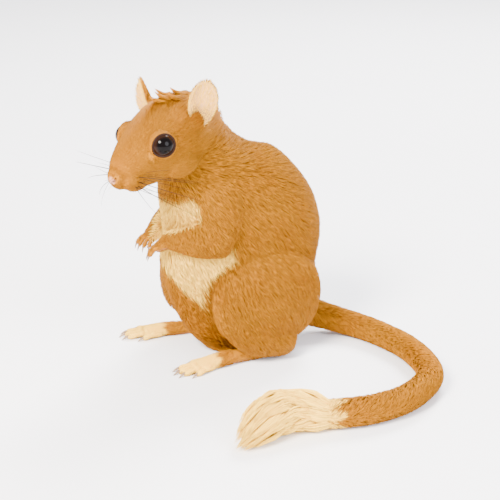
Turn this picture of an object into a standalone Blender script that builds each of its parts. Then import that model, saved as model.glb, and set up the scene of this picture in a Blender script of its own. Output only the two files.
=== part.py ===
"""A gerbil at life size, sitting up on its haunches, forepaws held together in front of the chest
and the tail laid round its left side on the floor. It faces -Y, with its left side to +X.
"""

import math

import bmesh
import bpy
import numpy as np
from mathutils import Matrix, Vector
from mathutils.bvhtree import BVHTree

SIGNS = {"left": 1, "right": -1}
MM = 0.001  # the sizes below are millimetres, and become metres where a mesh is made
GAP = 0.3  # left between two pieces that meet
FLESH_GRAIN = (0.6, 9)  # voxel size of a fused form before it is thinned, and passes of smoothing
PAW_GRAIN = (0.3, 3)
FOOT_GRAIN = (0.35, 3)

# Triangles kept after thinning
BODY_TRIANGLES = 1900
HEAD_TRIANGLES = 1500
PAW_TRIANGLES = 240
FOOT_TRIANGLES = 280

# Torso rows from rump to nape: y, z, half width, half depth to the back, half depth to the belly
TORSO = (
    (2.5, 6.0, 12.0, 19.5, 19.0),
    (1.0, 14.0, 16.0, 24.6, 24.0),
    (-1.0, 27.0, 18.5, 27.2, 27.5),
    (-3.0, 40.0, 18.5, 30.9, 28.5),
    (-7.5, 51.0, 17.0, 28.6, 25.5),
    (-13.5, 61.0, 14.8, 23.5, 18.5),
    (-17.0, 70.0, 12.8, 16.5, 14.0),
    (-19.5, 79.0, 11.5, 11.5, 11.0),
)

COLLAR = (0.0, -14.5, 64.0)  # where the neck parts from the torso
COLLAR_AXIS = (0.0, -0.3, 0.95)

# The skull's pivot at the nape, and how far the head is turned to its left and bowed
HEAD_PIVOT = (0.0, -17.0, 83.0)
HEAD_YAW = math.radians(24)
HEAD_PITCH = math.radians(16)
NAPE = (0.0, -4.0, -3.0)  # in the head's own frame, where the head parts from the neck
NAPE_AXIS = (0.0, -0.64, 0.77)
# Head rows from nape to nose, in the head's own frame: distance forward, height, half width, half
# height above, half height below
HEAD = (
    (0.0, 0.0, 10.5, 9.5, 11.0),
    (6.0, 0.2, 12.4, 11.8, 12.4),
    (13.0, 0.0, 12.9, 12.2, 12.2),
    (20.0, -0.8, 11.8, 11.0, 10.8),
    (26.0, -1.6, 9.9, 9.4, 9.4),
    (31.0, -2.3, 7.5, 7.5, 7.8),
    (34.6, -2.8, 5.5, 5.7, 6.2),
    (36.4, -3.0, 3.9, 4.0, 4.5),
)
# Rounded masses on the head: place and half sizes, each out, forward and up
WHISKER_PAD = ((3.1, 33.2, -4.6), (3.6, 4.6, 3.3))
CHEEK = ((7.8, 16.5, -5.5), (5.0, 8.0, 5.8))
CHIN = ((0.0, 29.8, -8.6), (3.0, 4.4, 2.4))
NOSE_TIP = ((0.0, 38.2, -2.0), (1.8, 1.5, 1.4))
NOSTRIL = ((1.35, 39.9, -2.6), (0.85, 1.1, 0.42))
NOSTRIL_SLANT = math.radians(38)
MOUTH_MIDDLE = (0.0, 30.5, -6.9)  # the line of the mouth is cast on the muzzle round this point
MOUTH_SWEEP = math.radians(78)
MOUTH_GROOVE = 0.4
CLEFT_HEIGHTS = (-3.9, -4.8, -5.8)
CLEFT_GROOVE = 0.3

EYE_RADIUS = 3.9
EYE_PLACE = (8.2, 22.6, 3.2)  # out, forward and up in the head's frame
EYE_AXIS = (0.88, 0.38, 0.29)
LID_OUT = 1.25  # the lids' ring, out from the eye's middle along its axis
LID_RADIUS = 3.7
LID_THICK = 0.75

EAR_HEIGHT = 10.8
EAR_WIDTH = 10.4
EAR_THICK = 0.9
EAR_WAIST = 0.4  # share of the ear's rows below its widest
# Each ear by its own turn, as a gerbil swivels them: where it stands, and how far it leans back, leans
# out and faces out
EAR_PLACE = {"left": (9.3, 6.0, 6.0), "right": (9.5, 8.0, 5.7)}
EAR_TURNS = {
    "left": (math.radians(-16), math.radians(20), math.radians(40)),
    "right": (math.radians(-4), math.radians(44), math.radians(8)),
}

# The tail's middle line on the floor, as x and y, from inside the rump round to the tuft's tip
TAIL_PLAN = (
    (0, 12), (0, 22), (5, 33), (17, 42), (36, 46.5), (56, 43),
    (68, 29), (71.5, 14), (70, 1), (66, -14), (75, -33),
)
TAIL_RADII = (7.5, 5.6, 4.8, 4.5, 4.5, 4.6, 4.7, 4.8, 4.9, 4.9, 1.0)
TAIL_LIFTS = (9.0, 4.0, 1.0, 0.0, 0.0, 0.0, 0.0, 0.0, 0.0, 0.0, 0.0)  # of the underside above the floor
FLAT_DEPTH = 0.25  # how far a resting underside would sink, which leaves its small flat
TAIL_CUTS = (1.2, 3.0, 4.6, 6.2, 8.0)  # where the lengths part, in spans of the plan
TAIL_STEPS = 10  # rings a span
TAIL_HIDDEN = 4  # rows of the plan that fuse with the rump

# The tail's tuft: half width at shares of its length, and tiers of locks by where their roots are
# and how far they run, as shares of that length, how many lie round the core and how far out
TUFT_LENGTH = 37.0
TUFT_SPREAD = ((0.0, 4.9), (0.2, 6.2), (0.45, 7.0), (0.7, 6.0), (0.9, 3.9), (1.0, 2.6))
TUFT_TIERS = (
    (0.02, 0.44, 7, 0.95),
    (0.16, 0.46, 7, 0.95),
    (0.30, 0.48, 7, 0.95),
    (0.41, 0.50, 6, 0.90),
    (0.44, 0.55, 3, 0.42),
)
TUFT_LOCK = (5.2, 1.5)  # width and thickness
LOCK_ROOT = 0.45  # how far out a root sits, as a share of the tuft's half width
CORE_SHARE = 0.48  # of the tuft's length
CORE_WIDE = 0.72  # of the tuft's width
# A lock's outline: share along it, share of its width and share of its thickness
LOCK_SHAPE = ((0.0, 0.65, 0.9), (0.25, 1.0, 1.0), (0.55, 0.9, 0.8), (0.8, 0.55, 0.55), (1.0, 0.1, 0.2))

# The tuft of hair on the crown: where each lock stands, out and forward, and its length
CROWN_LOCKS = ((0.0, 9.5, 7.8), (-2.4, 7.0, 7.0), (2.4, 7.6, 7.0), (0.4, 3.6, 7.6), (-0.9, 12.0, 6.0))
CROWN_BACK = 0.3  # how far back of its place a lock starts, as a share of its length
CROWN_RISE = 0.52  # how far its tip stands up, as a share of its length
CROWN_SUNK = 0.08
CROWN_LOCK = (3.4, 1.2)

# One side's limbs, on the left; x, y, z and half sizes along each limb
HAUNCH = (
    (9.0, 13.8, 19.0, 11.0, 15.5, 16.0),
    (12.5, 5.0, 21.0, 11.5, 19.0, 19.5),
    (14.5, -5.0, 22.5, 10.0, 17.0, 18.5),
    (15.8, -14.0, 22.5, 7.2, 11.5, 13.5),
)
SHANK = (
    (15.5, -12.5, 19.0, 7.5, 7.5, 7.5),
    (15.0, -5.0, 10.0, 8.0, 8.0, 8.5),
    (14.0, 5.0, 6.0, 8.0, 6.0, 7.0),
)
UPPER_ARM = (
    (10.5, -13.5, 59.0, 7.5, 8.5, 8.5),
    (13.8, -14.0, 52.0, 6.6, 7.4, 7.4),
    (16.0, -15.5, 45.5, 5.2, 5.6, 5.6),
)
FOREARM = (
    (16.4, -15.5, 46.6, 7.6, 5.4, 5.4),
    (14.6, -21.0, 45.4, 6.1, 4.8, 4.8),
    (10.6, -26.0, 44.7, 4.3, 3.9, 3.9),
    (6.4, -29.5, 44.2, 3.1, 3.1, 3.1),
)

WRIST = (7.2, -28.6, 44.2)
PAW_YAW = math.radians(-24)
PAW_PITCH = math.radians(22)
PALM = (
    (0.0, 2.5, 0.0, 3.0, 2.8, 2.8),
    (0.0, -0.5, 0.0, 2.8, 2.2, 2.2),
    (0.0, -3.1, -0.2, 3.2, 1.9, 1.9),
    (0.0, -5.2, -0.6, 2.7, 1.4, 1.4),
)
# Fingers by where their roots lie across the palm, their spread in degrees and share of the length
FINGERS = ((-2.3, -12, 0.82), (-0.8, -4, 1.0), (0.7, 5, 1.0), (2.1, 14, 0.86))
FINGER_LENGTH = 4.4
FINGER_RADIUS = 0.85
FINGER_ARCH = 1.5
FINGER_CLAW = (1.9, 0.48)  # length and half width

LEG_AHEAD = {"left": -2.5, "right": 5.8}  # how far each hind leg is set forward
HEEL = (14.0, -3.1)
SOLE = (
    (0.0, 0.0, 2.1, 2.9, 2.6, 2.4),
    (0.0, -9.0, 2.1, 2.9, 2.9, 2.4),
    (0.0, -16.9, 2.0, 3.5, 2.3, 2.3),
    (0.0, -22.5, 1.6, 3.7, 1.6, 1.9),
)
FOOT_YAWS = {"left": math.radians(5), "right": math.radians(-11)}
# Toes by where their roots lie across the foot, spread in degrees, share of the length, set back
TOES = (
    (-3.1, -16, 0.62, 3.2),
    (-1.55, -6, 0.95, 0.4),
    (0.0, 1, 1.0, 0.0),
    (1.55, 8, 0.95, 0.4),
    (3.1, 17, 0.7, 2.2),
)
TOE_LENGTH = 7.2
TOE_RADIUS = 1.15
TOE_ARCH = 0.7
TOE_CLAW = (2.7, 0.55)
ANKLE_CUT = 9.5  # where the foot leaves the haunch, forward of the heel
ARM_MARGIN = 0.8  # how far outside a limb's own form its parting line runs
HAUNCH_MARGIN = 1.2
OUTSIDE = 20.0  # a start well outside the head, for finding its surface

GOLDEN = (0.62, 0.29, 0.075)
CREAM = (0.88, 0.74, 0.48)
EYE_BLACK = (0.012, 0.008, 0.007)
EAR_PINK = (0.80, 0.55, 0.38)


def clear_scene():
    for old in list(bpy.data.objects):
        bpy.data.objects.remove(old, do_unlink=True)


def make_material(name, colour, roughness):
    material = bpy.data.materials.new(name)
    material.use_nodes = True
    shader = material.node_tree.nodes["Principled BSDF"]
    shader.inputs["Base Color"].default_value = (*colour, 1.0)
    shader.inputs["Roughness"].default_value = roughness
    shader.inputs["Metallic"].default_value = 0.0
    return material


def spline(rows, steps):
    """Rows of numbers, filled in by a Catmull-Rom curve with this many steps a span."""
    rows = np.array(rows, float)
    ends = np.vstack([2 * rows[0] - rows[1], rows, 2 * rows[-1] - rows[-2]])
    filled = []
    for k in range(len(rows) - 1):
        a, b, c, d = ends[k : k + 4]
        for t in np.arange(steps) / steps:
            curve = 2 * b + (c - a) * t + (2 * a - 5 * b + 4 * c - d) * t**2
            curve += (3 * b - a - 3 * c + d) * t**3
            filled.append(curve / 2)
    filled.append(rows[-1])
    return np.array(filled)


def rings_along(rows, steps, grow=0.0):
    """Rings of a tube through these rows, each a centre, a heading and its three half sizes."""
    rows = spline(rows, steps)
    headings = np.gradient(rows[:, :3], axis=0)
    headings /= np.linalg.norm(headings, axis=1)[:, None]
    return [(row[:3], heading, row[3:] + grow) for row, heading in zip(rows, headings)]


def round_off(ring, outward):
    """Rings that close a tube in a dome, from its last ring outwards."""
    centre, heading, sizes = ring
    reach = min(sizes) * 0.8
    dome = []
    for angle in (math.radians(28), math.radians(54), math.radians(76)):
        moved = centre + outward * heading * reach * math.sin(angle)
        dome.append((moved, heading, sizes * math.cos(angle)))
    return dome


def tube(rings, side, around):
    """A closed tube on rings of half width, half height above and half height below."""
    mesh = bmesh.new()
    loops = []
    for centre, heading, (wide, above, below) in rings:
        across = np.array(side, float) - np.dot(side, heading) * heading
        across /= np.linalg.norm(across)
        up = np.cross(heading, across)
        loop = []
        for angle in np.arange(around) * 2 * math.pi / around:
            rise = math.sin(angle)
            tall = above if rise > 0 else below
            loop.append(mesh.verts.new((centre + across * wide * math.cos(angle) + up * tall * rise) * MM))
        loops.append(loop)
    for first, second in zip(loops, loops[1:]):
        for k in range(around):
            mesh.faces.new((first[k - 1], first[k], second[k], second[k - 1]))
    mesh.faces.new(loops[0])
    mesh.faces.new(loops[-1])
    bmesh.ops.recalc_face_normals(mesh, faces=mesh.faces)
    return mesh


def loft(rows, side=(1, 0, 0), around=16, steps=4, domed=True, grow=0.0):
    """A closed tube through rows of x, y, z, half width, half height above and half height below."""
    rings = rings_along(rows, steps, grow)
    if domed:
        rings = round_off(rings[0], -1)[::-1] + rings + round_off(rings[-1], 1)
    return tube(rings, side, around)


def ball(centre, radii, turn=None, divisions=3):
    mesh = bmesh.new()
    bmesh.ops.create_icosphere(mesh, subdivisions=divisions, radius=MM)
    shape = Matrix.Diagonal((*radii, 1))
    if turn is not None:
        shape = turn.to_4x4() @ shape
    bmesh.ops.transform(mesh, matrix=Matrix.Translation(Vector(centre) * MM) @ shape, verts=mesh.verts)
    return mesh


def slab(point, direction, reach=60.0, depth=120.0):
    """A box that starts at a plane through point and fills the side that direction points to."""
    mesh = bmesh.new()
    bmesh.ops.create_cube(mesh, size=1.0)
    size = Matrix.Diagonal((reach * MM, reach * MM, depth * MM, 1))
    turn = Vector(direction).to_track_quat("Z", "Y").to_matrix().to_4x4()
    forward = Matrix.Translation((0, 0, 0.5))
    place = Matrix.Translation(Vector(point) * MM)
    bmesh.ops.transform(mesh, matrix=place @ turn @ size @ forward, verts=mesh.verts)
    return mesh


def to_object(name, mesh, collection):
    data = bpy.data.meshes.new(name)
    mesh.to_mesh(data)
    mesh.free()
    made = bpy.data.objects.new(name, data)
    collection.objects.link(made)
    return made


def apply_modifiers(piece):
    graph = bpy.context.evaluated_depsgraph_get()
    graph.update()
    mesh = bpy.data.meshes.new_from_object(piece.evaluated_get(graph))
    piece.modifiers.clear()
    old, piece.data = piece.data, mesh
    bpy.data.meshes.remove(old)


def keep_largest(piece):
    """Drops every closed surface but the largest, and so any scrap or sealed hollow."""
    mesh = bmesh.new()
    mesh.from_mesh(piece.data)
    left, groups = set(mesh.verts), []
    while left:
        found, border = set(), [left.pop()]
        while border:
            vertex = border.pop()
            found.add(vertex)
            for edge in vertex.link_edges:
                other = edge.other_vert(vertex)
                if other in left:
                    left.remove(other)
                    border.append(other)
        groups.append(found)
    groups.sort(key=len)
    for scrap in groups[:-1]:
        bmesh.ops.delete(mesh, geom=list(scrap), context="VERTS")
    mesh.to_mesh(piece.data)
    mesh.free()


def combine(piece, operation, cutter, cutters):
    """Cuts, keeps or joins with one bmesh."""
    tool = to_object("tool", cutter, cutters)
    boolean = piece.modifiers.new("combine", "BOOLEAN")
    boolean.object = tool
    boolean.operation = operation
    boolean.solver = "EXACT"
    apply_modifiers(piece)
    bpy.data.objects.remove(tool)
    keep_largest(piece)


def thin_out(piece, triangles):
    thin = piece.modifiers.new("thin", "DECIMATE")
    thin.ratio = min(1.0, triangles / len(piece.data.polygons))
    thin.use_collapse_triangulate = True
    apply_modifiers(piece)


def fuse(name, meshes, collection, grain):
    """One closed skin round all these meshes, with soft creases where they meet."""
    voxel, relax = grain
    whole = bmesh.new()
    for mesh in meshes:
        data = bpy.data.meshes.new("piece")
        mesh.to_mesh(data)
        mesh.free()
        whole.from_mesh(data)
        bpy.data.meshes.remove(data)
    piece = to_object(name, whole, collection)
    skin = piece.modifiers.new("skin", "REMESH")
    skin.mode = "VOXEL"
    skin.voxel_size = voxel * MM
    soften = piece.modifiers.new("soften", "SMOOTH")
    soften.factor = 0.5
    soften.iterations = relax
    flat = piece.modifiers.new("flat", "TRIANGULATE")
    flat.min_vertices = 4
    apply_modifiers(piece)
    keep_largest(piece)
    return piece


def copy_of(piece, name, collection):
    made = bpy.data.objects.new(name, piece.data.copy())
    collection.objects.link(made)
    return made


def part_off(body, name, cutter_of, nodes, cutters):
    """Takes what lies inside a cutter off the body as a node of its own, with a gap between."""
    piece = copy_of(body, name, nodes)
    combine(piece, "INTERSECT", cutter_of(0.0), cutters)
    combine(body, "DIFFERENCE", cutter_of(GAP), cutters)
    return piece


def sided(rows, side):
    """A left limb's rows on either side of the body."""
    sign = SIGNS[side]
    return [(sign * row[0], *row[1:]) for row in rows]


def hind(rows, side):
    """A hind limb's rows, with the knee end carried forward as its foot is."""
    hip, knee = rows[0][1], rows[-1][1]
    moved = []
    for x, y, *rest in sided(rows, side):
        moved.append((x, y - LEG_AHEAD[side] * (hip - y) / (hip - knee), *rest))
    return moved


def limb_cutter(rows, across, margin):
    """Makes a limb's own form again, grown a little, to part the limb along its outline."""
    return lambda extra: loft(rows, side=across, around=12, steps=2, grow=margin + extra)


def head_frame():
    turn = Matrix.Rotation(HEAD_YAW, 4, "Z") @ Matrix.Rotation(HEAD_PITCH, 4, "X")
    return Matrix.Translation(HEAD_PIVOT) @ turn


def on_head(out, forward, up, frame):
    return frame @ Vector((out, -forward, up))


def head_masses(frame):
    rows = [(0.0, -forward, height, *sizes) for forward, height, *sizes in HEAD]
    masses = [loft(rows, around=24)]
    for mass in (WHISKER_PAD, CHEEK, CHIN, NOSE_TIP):
        (out, forward, up), radii = mass
        for sign in (1, -1) if out else (1,):
            masses.append(ball((sign * out, -forward, up), radii))
    small = Matrix.Diagonal((MM, MM, MM, 1))
    in_metres = small @ frame @ small.inverted()
    for mesh in masses:
        bmesh.ops.transform(mesh, matrix=in_metres, verts=mesh.verts)
    return masses


def tail_rows():
    """Centre and radius along the tail, its underside on the floor past the rump."""
    return [
        (x, y, radius + lift - FLAT_DEPTH, radius, radius, radius)
        for (x, y), radius, lift in zip(TAIL_PLAN, TAIL_RADII, TAIL_LIFTS)
    ]


def make_flesh(frame, flesh):
    masses = [loft([(0.0, *row) for row in TORSO], around=28), *head_masses(frame)]
    for side in SIGNS:
        masses.append(loft(hind(HAUNCH, side), around=20))
        masses.append(loft([(x, y - LEG_AHEAD[side], *rest) for x, y, *rest in sided(SHANK, side)]))
        masses.append(loft(sided(UPPER_ARM, side)))
        masses.append(loft(sided(FOREARM, side), side=(0, 0, 1)))
    masses.append(loft(tail_rows()[:TAIL_HIDDEN], around=16))
    return fuse("torso", masses, flesh, FLESH_GRAIN)


def claw(root, forward, length, radius):
    """A curved cone that bends down to a point."""
    forward = Vector(forward).normalized()
    down = Vector((0, 0, -1))
    rows = []
    for share, size in ((-0.35, 0.9), (0.0, 1.0), (0.5, 0.68), (0.95, 0.22)):
        place = Vector(root) + forward * length * share + down * length * 0.45 * max(share, 0) ** 2
        rows.append((*place, radius * size, radius * size, radius * size))
    return loft(rows, around=6, steps=1, domed=False)


def digit(root, yaw, length, radius, droop):
    """Rows of one finger or toe, and the root and heading of its claw."""
    heading = Vector((math.sin(yaw), -math.cos(yaw), 0))
    rows = []
    for share, size, rise in ((-0.35, 1.0, 0.0), (0.2, 0.95, 0.35), (0.6, 1.05, 0.1), (0.95, 0.92, -0.5)):
        place = Vector(root) + heading * length * share + Vector((0, 0, droop * rise))
        rows.append((*place, radius * size, radius * size, radius * size))
    tip = Vector(root) + heading * length + Vector((0, 0, -droop * 0.55))
    return rows, tip, heading


def make_paw(side, nodes, cutters):
    """A forepaw that hangs a little from its wrist, with its fingers and claws."""
    sign = SIGNS[side]
    masses, claws = [loft(PALM)], []
    for place, spread, share in FINGERS:
        root = (place, PALM[-1][1] + 0.3, PALM[-1][2])
        length = FINGER_LENGTH * share
        finger, tip, heading = digit(root, math.radians(spread), length, FINGER_RADIUS, FINGER_ARCH)
        masses.append(loft(finger, around=10, steps=3))
        claws.append(claw(tip, heading + Vector((0, 0, -0.7)), *FINGER_CLAW))
    turn = Matrix.Rotation(PAW_YAW, 4, "Z") @ Matrix.Rotation(PAW_PITCH, 4, "X")
    flip = Matrix.Diagonal((sign, 1, 1, 1))
    place = flip @ Matrix.Translation(Vector(WRIST) * MM) @ turn
    for mesh in masses + claws:
        bmesh.ops.transform(mesh, matrix=place, verts=mesh.verts)
        bmesh.ops.recalc_face_normals(mesh, faces=mesh.faces)
    paw = fuse(f"forepaw_{side}", masses, nodes, PAW_GRAIN)
    thin_out(paw, PAW_TRIANGLES)
    for mesh in claws:
        combine(paw, "UNION", mesh, cutters)
    wrist = flip @ Vector(WRIST)
    heading = (flip @ turn) @ Vector((0, -1, 0))
    combine(paw, "DIFFERENCE", slab(wrist + heading * GAP, -heading, reach=14, depth=10), cutters)
    return paw, wrist, heading


def make_foot(side, nodes, cutters):
    """A long hind foot flat on the floor, with its toes and claws."""
    sign = SIGNS[side]
    masses, claws = [loft(SOLE)], []
    for place, spread, share, back in TOES:
        root = (place, SOLE[-1][1] + back, TOE_RADIUS - FLAT_DEPTH + 0.35)
        toe, tip, heading = digit(root, math.radians(spread), TOE_LENGTH * share, TOE_RADIUS, TOE_ARCH)
        masses.append(loft(toe, around=10, steps=3))
        claws.append(claw(tip + Vector((0, 0, 0.25)), heading + Vector((0, 0, -0.12)), *TOE_CLAW))
    heel = Vector((sign * HEEL[0], HEEL[1] - LEG_AHEAD[side], 0))
    place = Matrix.Translation(heel * MM) @ Matrix.Rotation(FOOT_YAWS[side], 4, "Z")
    place = place @ Matrix.Diagonal((sign, 1, 1, 1))
    for mesh in masses + claws:
        bmesh.ops.transform(mesh, matrix=place, verts=mesh.verts)
        bmesh.ops.recalc_face_normals(mesh, faces=mesh.faces)
    foot = fuse(f"hind_foot_{side}", masses, nodes, FOOT_GRAIN)
    thin_out(foot, FOOT_TRIANGLES)
    for mesh in claws:
        combine(foot, "UNION", mesh, cutters)
    heading = Matrix.Rotation(FOOT_YAWS[side], 4, "Z") @ Vector((0, -1, 0))
    ankle = heel + heading * ANKLE_CUT
    combine(foot, "DIFFERENCE", slab(ankle + heading * GAP, -heading, reach=24, depth=30), cutters)
    return foot, ankle, heading


def ear_shape():
    """A cupped leaf, narrow at its root, in a frame with the ear's height along Z."""
    mesh = bmesh.new()
    bmesh.ops.create_grid(mesh, x_segments=7, y_segments=9, size=1.0)
    for vertex in mesh.verts:
        s = vertex.co.x
        v = (vertex.co.y + 1) / 2
        if v < EAR_WAIST:
            share = v / EAR_WAIST
            rise = 0.5 * share
            half = 0.62 + 0.38 * math.sin(share * math.pi / 2)
        else:
            angle = (v - EAR_WAIST) / (1 - EAR_WAIST) * math.pi / 2
            rise = 0.5 + 0.5 * math.sin(angle)
            half = math.cos(angle)
        half *= EAR_WIDTH / 2
        curl = math.radians(92 - 62 * rise)
        bend = half / curl
        height = EAR_HEIGHT * (1.24 * rise - 0.24)
        dish = -bend * (1 - math.cos(curl * s)) + 1.6 * rise**2
        vertex.co = Vector((bend * math.sin(curl * s), dish, height)) * MM
    bmesh.ops.remove_doubles(mesh, verts=mesh.verts, dist=0.05 * MM)
    bmesh.ops.recalc_face_normals(mesh, faces=mesh.faces)
    return mesh


def make_ear(side, frame, head, nodes, cutters):
    sign = SIGNS[side]
    back, out, face = EAR_TURNS[side]
    turn = Matrix.Rotation(sign * out, 4, "Y") @ Matrix.Rotation(back, 4, "X")
    turn = turn @ Matrix.Rotation(sign * face, 4, "Z")
    place = Vector(EAR_PLACE[side]) * Vector((sign, -1, 1))
    small = Matrix.Diagonal((MM, MM, MM, 1))
    whole = small @ frame @ Matrix.Translation(place) @ turn @ small.inverted()
    mesh = ear_shape()
    bmesh.ops.transform(mesh, matrix=whole, verts=mesh.verts)
    ear = to_object(f"ear_{side}", mesh, nodes)
    thick = ear.modifiers.new("thick", "SOLIDIFY")
    thick.thickness = EAR_THICK * MM
    thick.offset = 0.0
    flat = ear.modifiers.new("flat", "TRIANGULATE")
    flat.min_vertices = 4
    apply_modifiers(ear)
    skull = bmesh.new()
    skull.from_mesh(head.data)
    skull.normal_update()
    for vertex in skull.verts:
        vertex.co += vertex.normal * GAP * MM
    combine(ear, "DIFFERENCE", skull, cutters)
    return ear


def eye_place(side, frame):
    sign = SIGNS[side]
    out, forward, up = EYE_PLACE
    centre = on_head(sign * out, forward, up, frame)
    axis = (frame.to_3x3() @ Vector((sign * EYE_AXIS[0], -EYE_AXIS[1], EYE_AXIS[2]))).normalized()
    return centre, axis


def make_eye(side, frame, head, nodes, cutters):
    """A round eye in its socket, with a raised rim of lid round it."""
    centre, axis = eye_place(side, frame)
    bpy.ops.mesh.primitive_torus_add(
        major_segments=18,
        minor_segments=6,
        major_radius=LID_RADIUS * MM,
        minor_radius=LID_THICK * MM,
    )
    ring = bpy.context.object
    rim = bmesh.new()
    rim.from_mesh(ring.data)
    bpy.data.objects.remove(ring)
    turn = axis.to_track_quat("Z", "Y").to_matrix().to_4x4()
    place = Matrix.Translation((centre + axis * LID_OUT) * MM) @ turn
    bmesh.ops.transform(rim, matrix=place, verts=rim.verts)
    combine(head, "UNION", rim, cutters)
    combine(head, "DIFFERENCE", ball(centre, (EYE_RADIUS + GAP,) * 3), cutters)
    return to_object(f"eye_{side}", ball(centre, (EYE_RADIUS,) * 3, divisions=3), nodes)


def surface_line(head, points, directions):
    """Where lines cast at the head from outside meet its surface."""
    surface = bmesh.new()
    surface.from_mesh(head.data)
    tree = BVHTree.FromBMesh(surface)
    surface.free()
    return [tree.ray_cast(point * MM, aim)[0] / MM for point, aim in zip(points, directions)]


def carve_face(head, frame, cutters):
    """The nostrils, the line of the mouth and the cleft under the nose."""
    turn = frame.to_3x3()
    (out, forward, up), radii = NOSTRIL
    for sign in SIGNS.values():
        slant = turn @ Matrix.Rotation(sign * NOSTRIL_SLANT, 3, "Y")
        nostril = ball(on_head(sign * out, forward, up, frame), radii, slant, divisions=2)
        combine(head, "DIFFERENCE", nostril, cutters)
    starts, aims = [], []
    out, forward, up = MOUTH_MIDDLE
    for share in np.linspace(-1, 1, 11):
        sweep = share * MOUTH_SWEEP
        aim = Vector((-math.sin(sweep), math.cos(sweep) * 0.85, 0.42 - 0.30 * abs(share))).normalized()
        middle = on_head(out, forward, up + 0.5 * abs(share), frame)
        starts.append(middle - turn @ aim * OUTSIDE)
        aims.append(turn @ aim)
    carve_groove(head, surface_line(head, starts, aims), MOUTH_GROOVE, turn @ Vector((0, 0, 1)), cutters)
    starts = [on_head(0, forward + OUTSIDE, up, frame) for up in CLEFT_HEIGHTS]
    aims = [turn @ Vector((0, 1, 0))] * len(starts)
    carve_groove(head, surface_line(head, starts, aims), CLEFT_GROOVE, Vector((1, 0, 0)), cutters)


def carve_groove(head, line, radius, side, cutters):
    rows = [(*place, radius, radius, radius) for place in line]
    combine(head, "DIFFERENCE", loft(rows, side=tuple(side), around=6, steps=1), cutters)


def tail_rings():
    return rings_along(tail_rows(), TAIL_STEPS)


def make_tail(nodes):
    """The tail's bare lengths, which meet end to end."""
    rings = tail_rings()
    ends = [round(place * TAIL_STEPS) for place in TAIL_CUTS]
    for k, (start, stop) in enumerate(zip(ends, ends[1:])):
        to_object(f"tail_{k + 1}", tube(set_apart(rings[start : stop + 1])[::2], (0, 0, 1), 12), nodes)


def set_apart(rings):
    """The same rings, the first moved ahead by the gap."""
    centre, heading, sizes = rings[0]
    return [(centre + heading * GAP, heading, sizes)] + rings[1:]


def tail_root():
    """Where the tail leaves the rump, and its heading there."""
    place, heading, _ = tail_rings()[round(TAIL_CUTS[0] * TAIL_STEPS)]
    return Vector(place), Vector(heading)


def lock(path, side, width, thick):
    """A flat, tapered lock along a path given from 0 at its root to 1 at its tip."""
    rows = []
    for share, wide, deep in LOCK_SHAPE:
        half = thick * deep / 2
        rows.append((*path(share), width * wide / 2, half, half))
    return loft(rows, side=side, around=4, steps=1, domed=False)


def join_locks(piece, locks):
    """Fuses all the locks with the piece in one union."""
    gathered = bpy.data.collections.new("locks")
    bpy.context.scene.collection.children.link(gathered)
    for k, mesh in enumerate(locks):
        to_object(f"lock_{k}", mesh, gathered)
    union = piece.modifiers.new("union", "BOOLEAN")
    union.operation = "UNION"
    union.operand_type = "COLLECTION"
    union.collection = gathered
    union.solver = "EXACT"
    apply_modifiers(piece)
    for made in list(gathered.objects):
        bpy.data.objects.remove(made)
    bpy.data.collections.remove(gathered)
    keep_largest(piece)


def tuft_spine():
    """Centre, heading, across, up and half width along the tuft, which lies on the floor."""
    rings = tail_rings()[round(TAIL_CUTS[-1] * TAIL_STEPS) :]
    centres = np.array([ring[0] for ring in rings])
    run = np.concatenate([[0], np.cumsum(np.linalg.norm(np.diff(centres[:, :2], axis=0), axis=1))])
    shares, widths = np.array(TUFT_SPREAD).T

    def at(share):
        x, y = (np.interp(share * TUFT_LENGTH, run, centres[:, axis]) for axis in (0, 1))
        spread = np.interp(share, shares, widths)
        k = min(int(np.searchsorted(run, share * TUFT_LENGTH)), len(rings) - 1)
        heading = rings[k][1]
        across = np.array((-heading[1], heading[0], 0)) / math.hypot(heading[0], heading[1])
        return np.array((x, y, spread - FLAT_DEPTH)), heading, across, spread

    return at


def make_tuft(nodes):
    """The brush at the tail's tip: tiers of locks round a core, flared a little and drawn together."""
    spine = tuft_spine()
    rings = []
    for share in np.linspace(0, CORE_SHARE, 7):
        centre, heading, _, spread = spine(share)
        wide = spread * (1 - (1 - CORE_WIDE) * min(1, share / 0.12))
        rings.append((centre, heading, np.array((wide,) * 3)))
    rings = set_apart(rings)
    tuft = to_object("tail_tuft", tube(rings + round_off(rings[-1], 1), (0, 0, 1), 12), nodes)
    chance = np.random.default_rng(11)
    locks = []
    for tier, (start, reach, count, out) in enumerate(TUFT_TIERS):
        for k in range(count):
            angle = 2 * math.pi * (k + 0.5 * (tier % 2) + chance.uniform(-0.15, 0.15)) / count
            locks.append(tuft_lock(spine, start, reach * chance.uniform(0.9, 1.0), angle, out, chance))
    join_locks(tuft, locks)


def tuft_lock(spine, start, reach, angle, out, chance):
    width, thick = TUFT_LOCK
    swirl = chance.uniform(-0.25, 0.25)
    stand = out * chance.uniform(0.88, 1.06)
    width *= chance.uniform(0.85, 1.1)

    def path(share):
        centre, _, across, spread = spine(start + reach * share)
        turned = angle + swirl * share
        off = spread * (LOCK_ROOT + (stand - LOCK_ROOT) * min(1, share / 0.5))
        place = centre + across * math.cos(turned) * off + np.array((0, 0, math.sin(turned) * off))
        place[2] = max(place[2], thick / 2 + GAP)
        return place

    _, _, across, _ = spine(start + reach / 2)
    around = -across * math.sin(angle) + np.array((0, 0, math.cos(angle)))
    return lock(path, around, width, thick)


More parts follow.
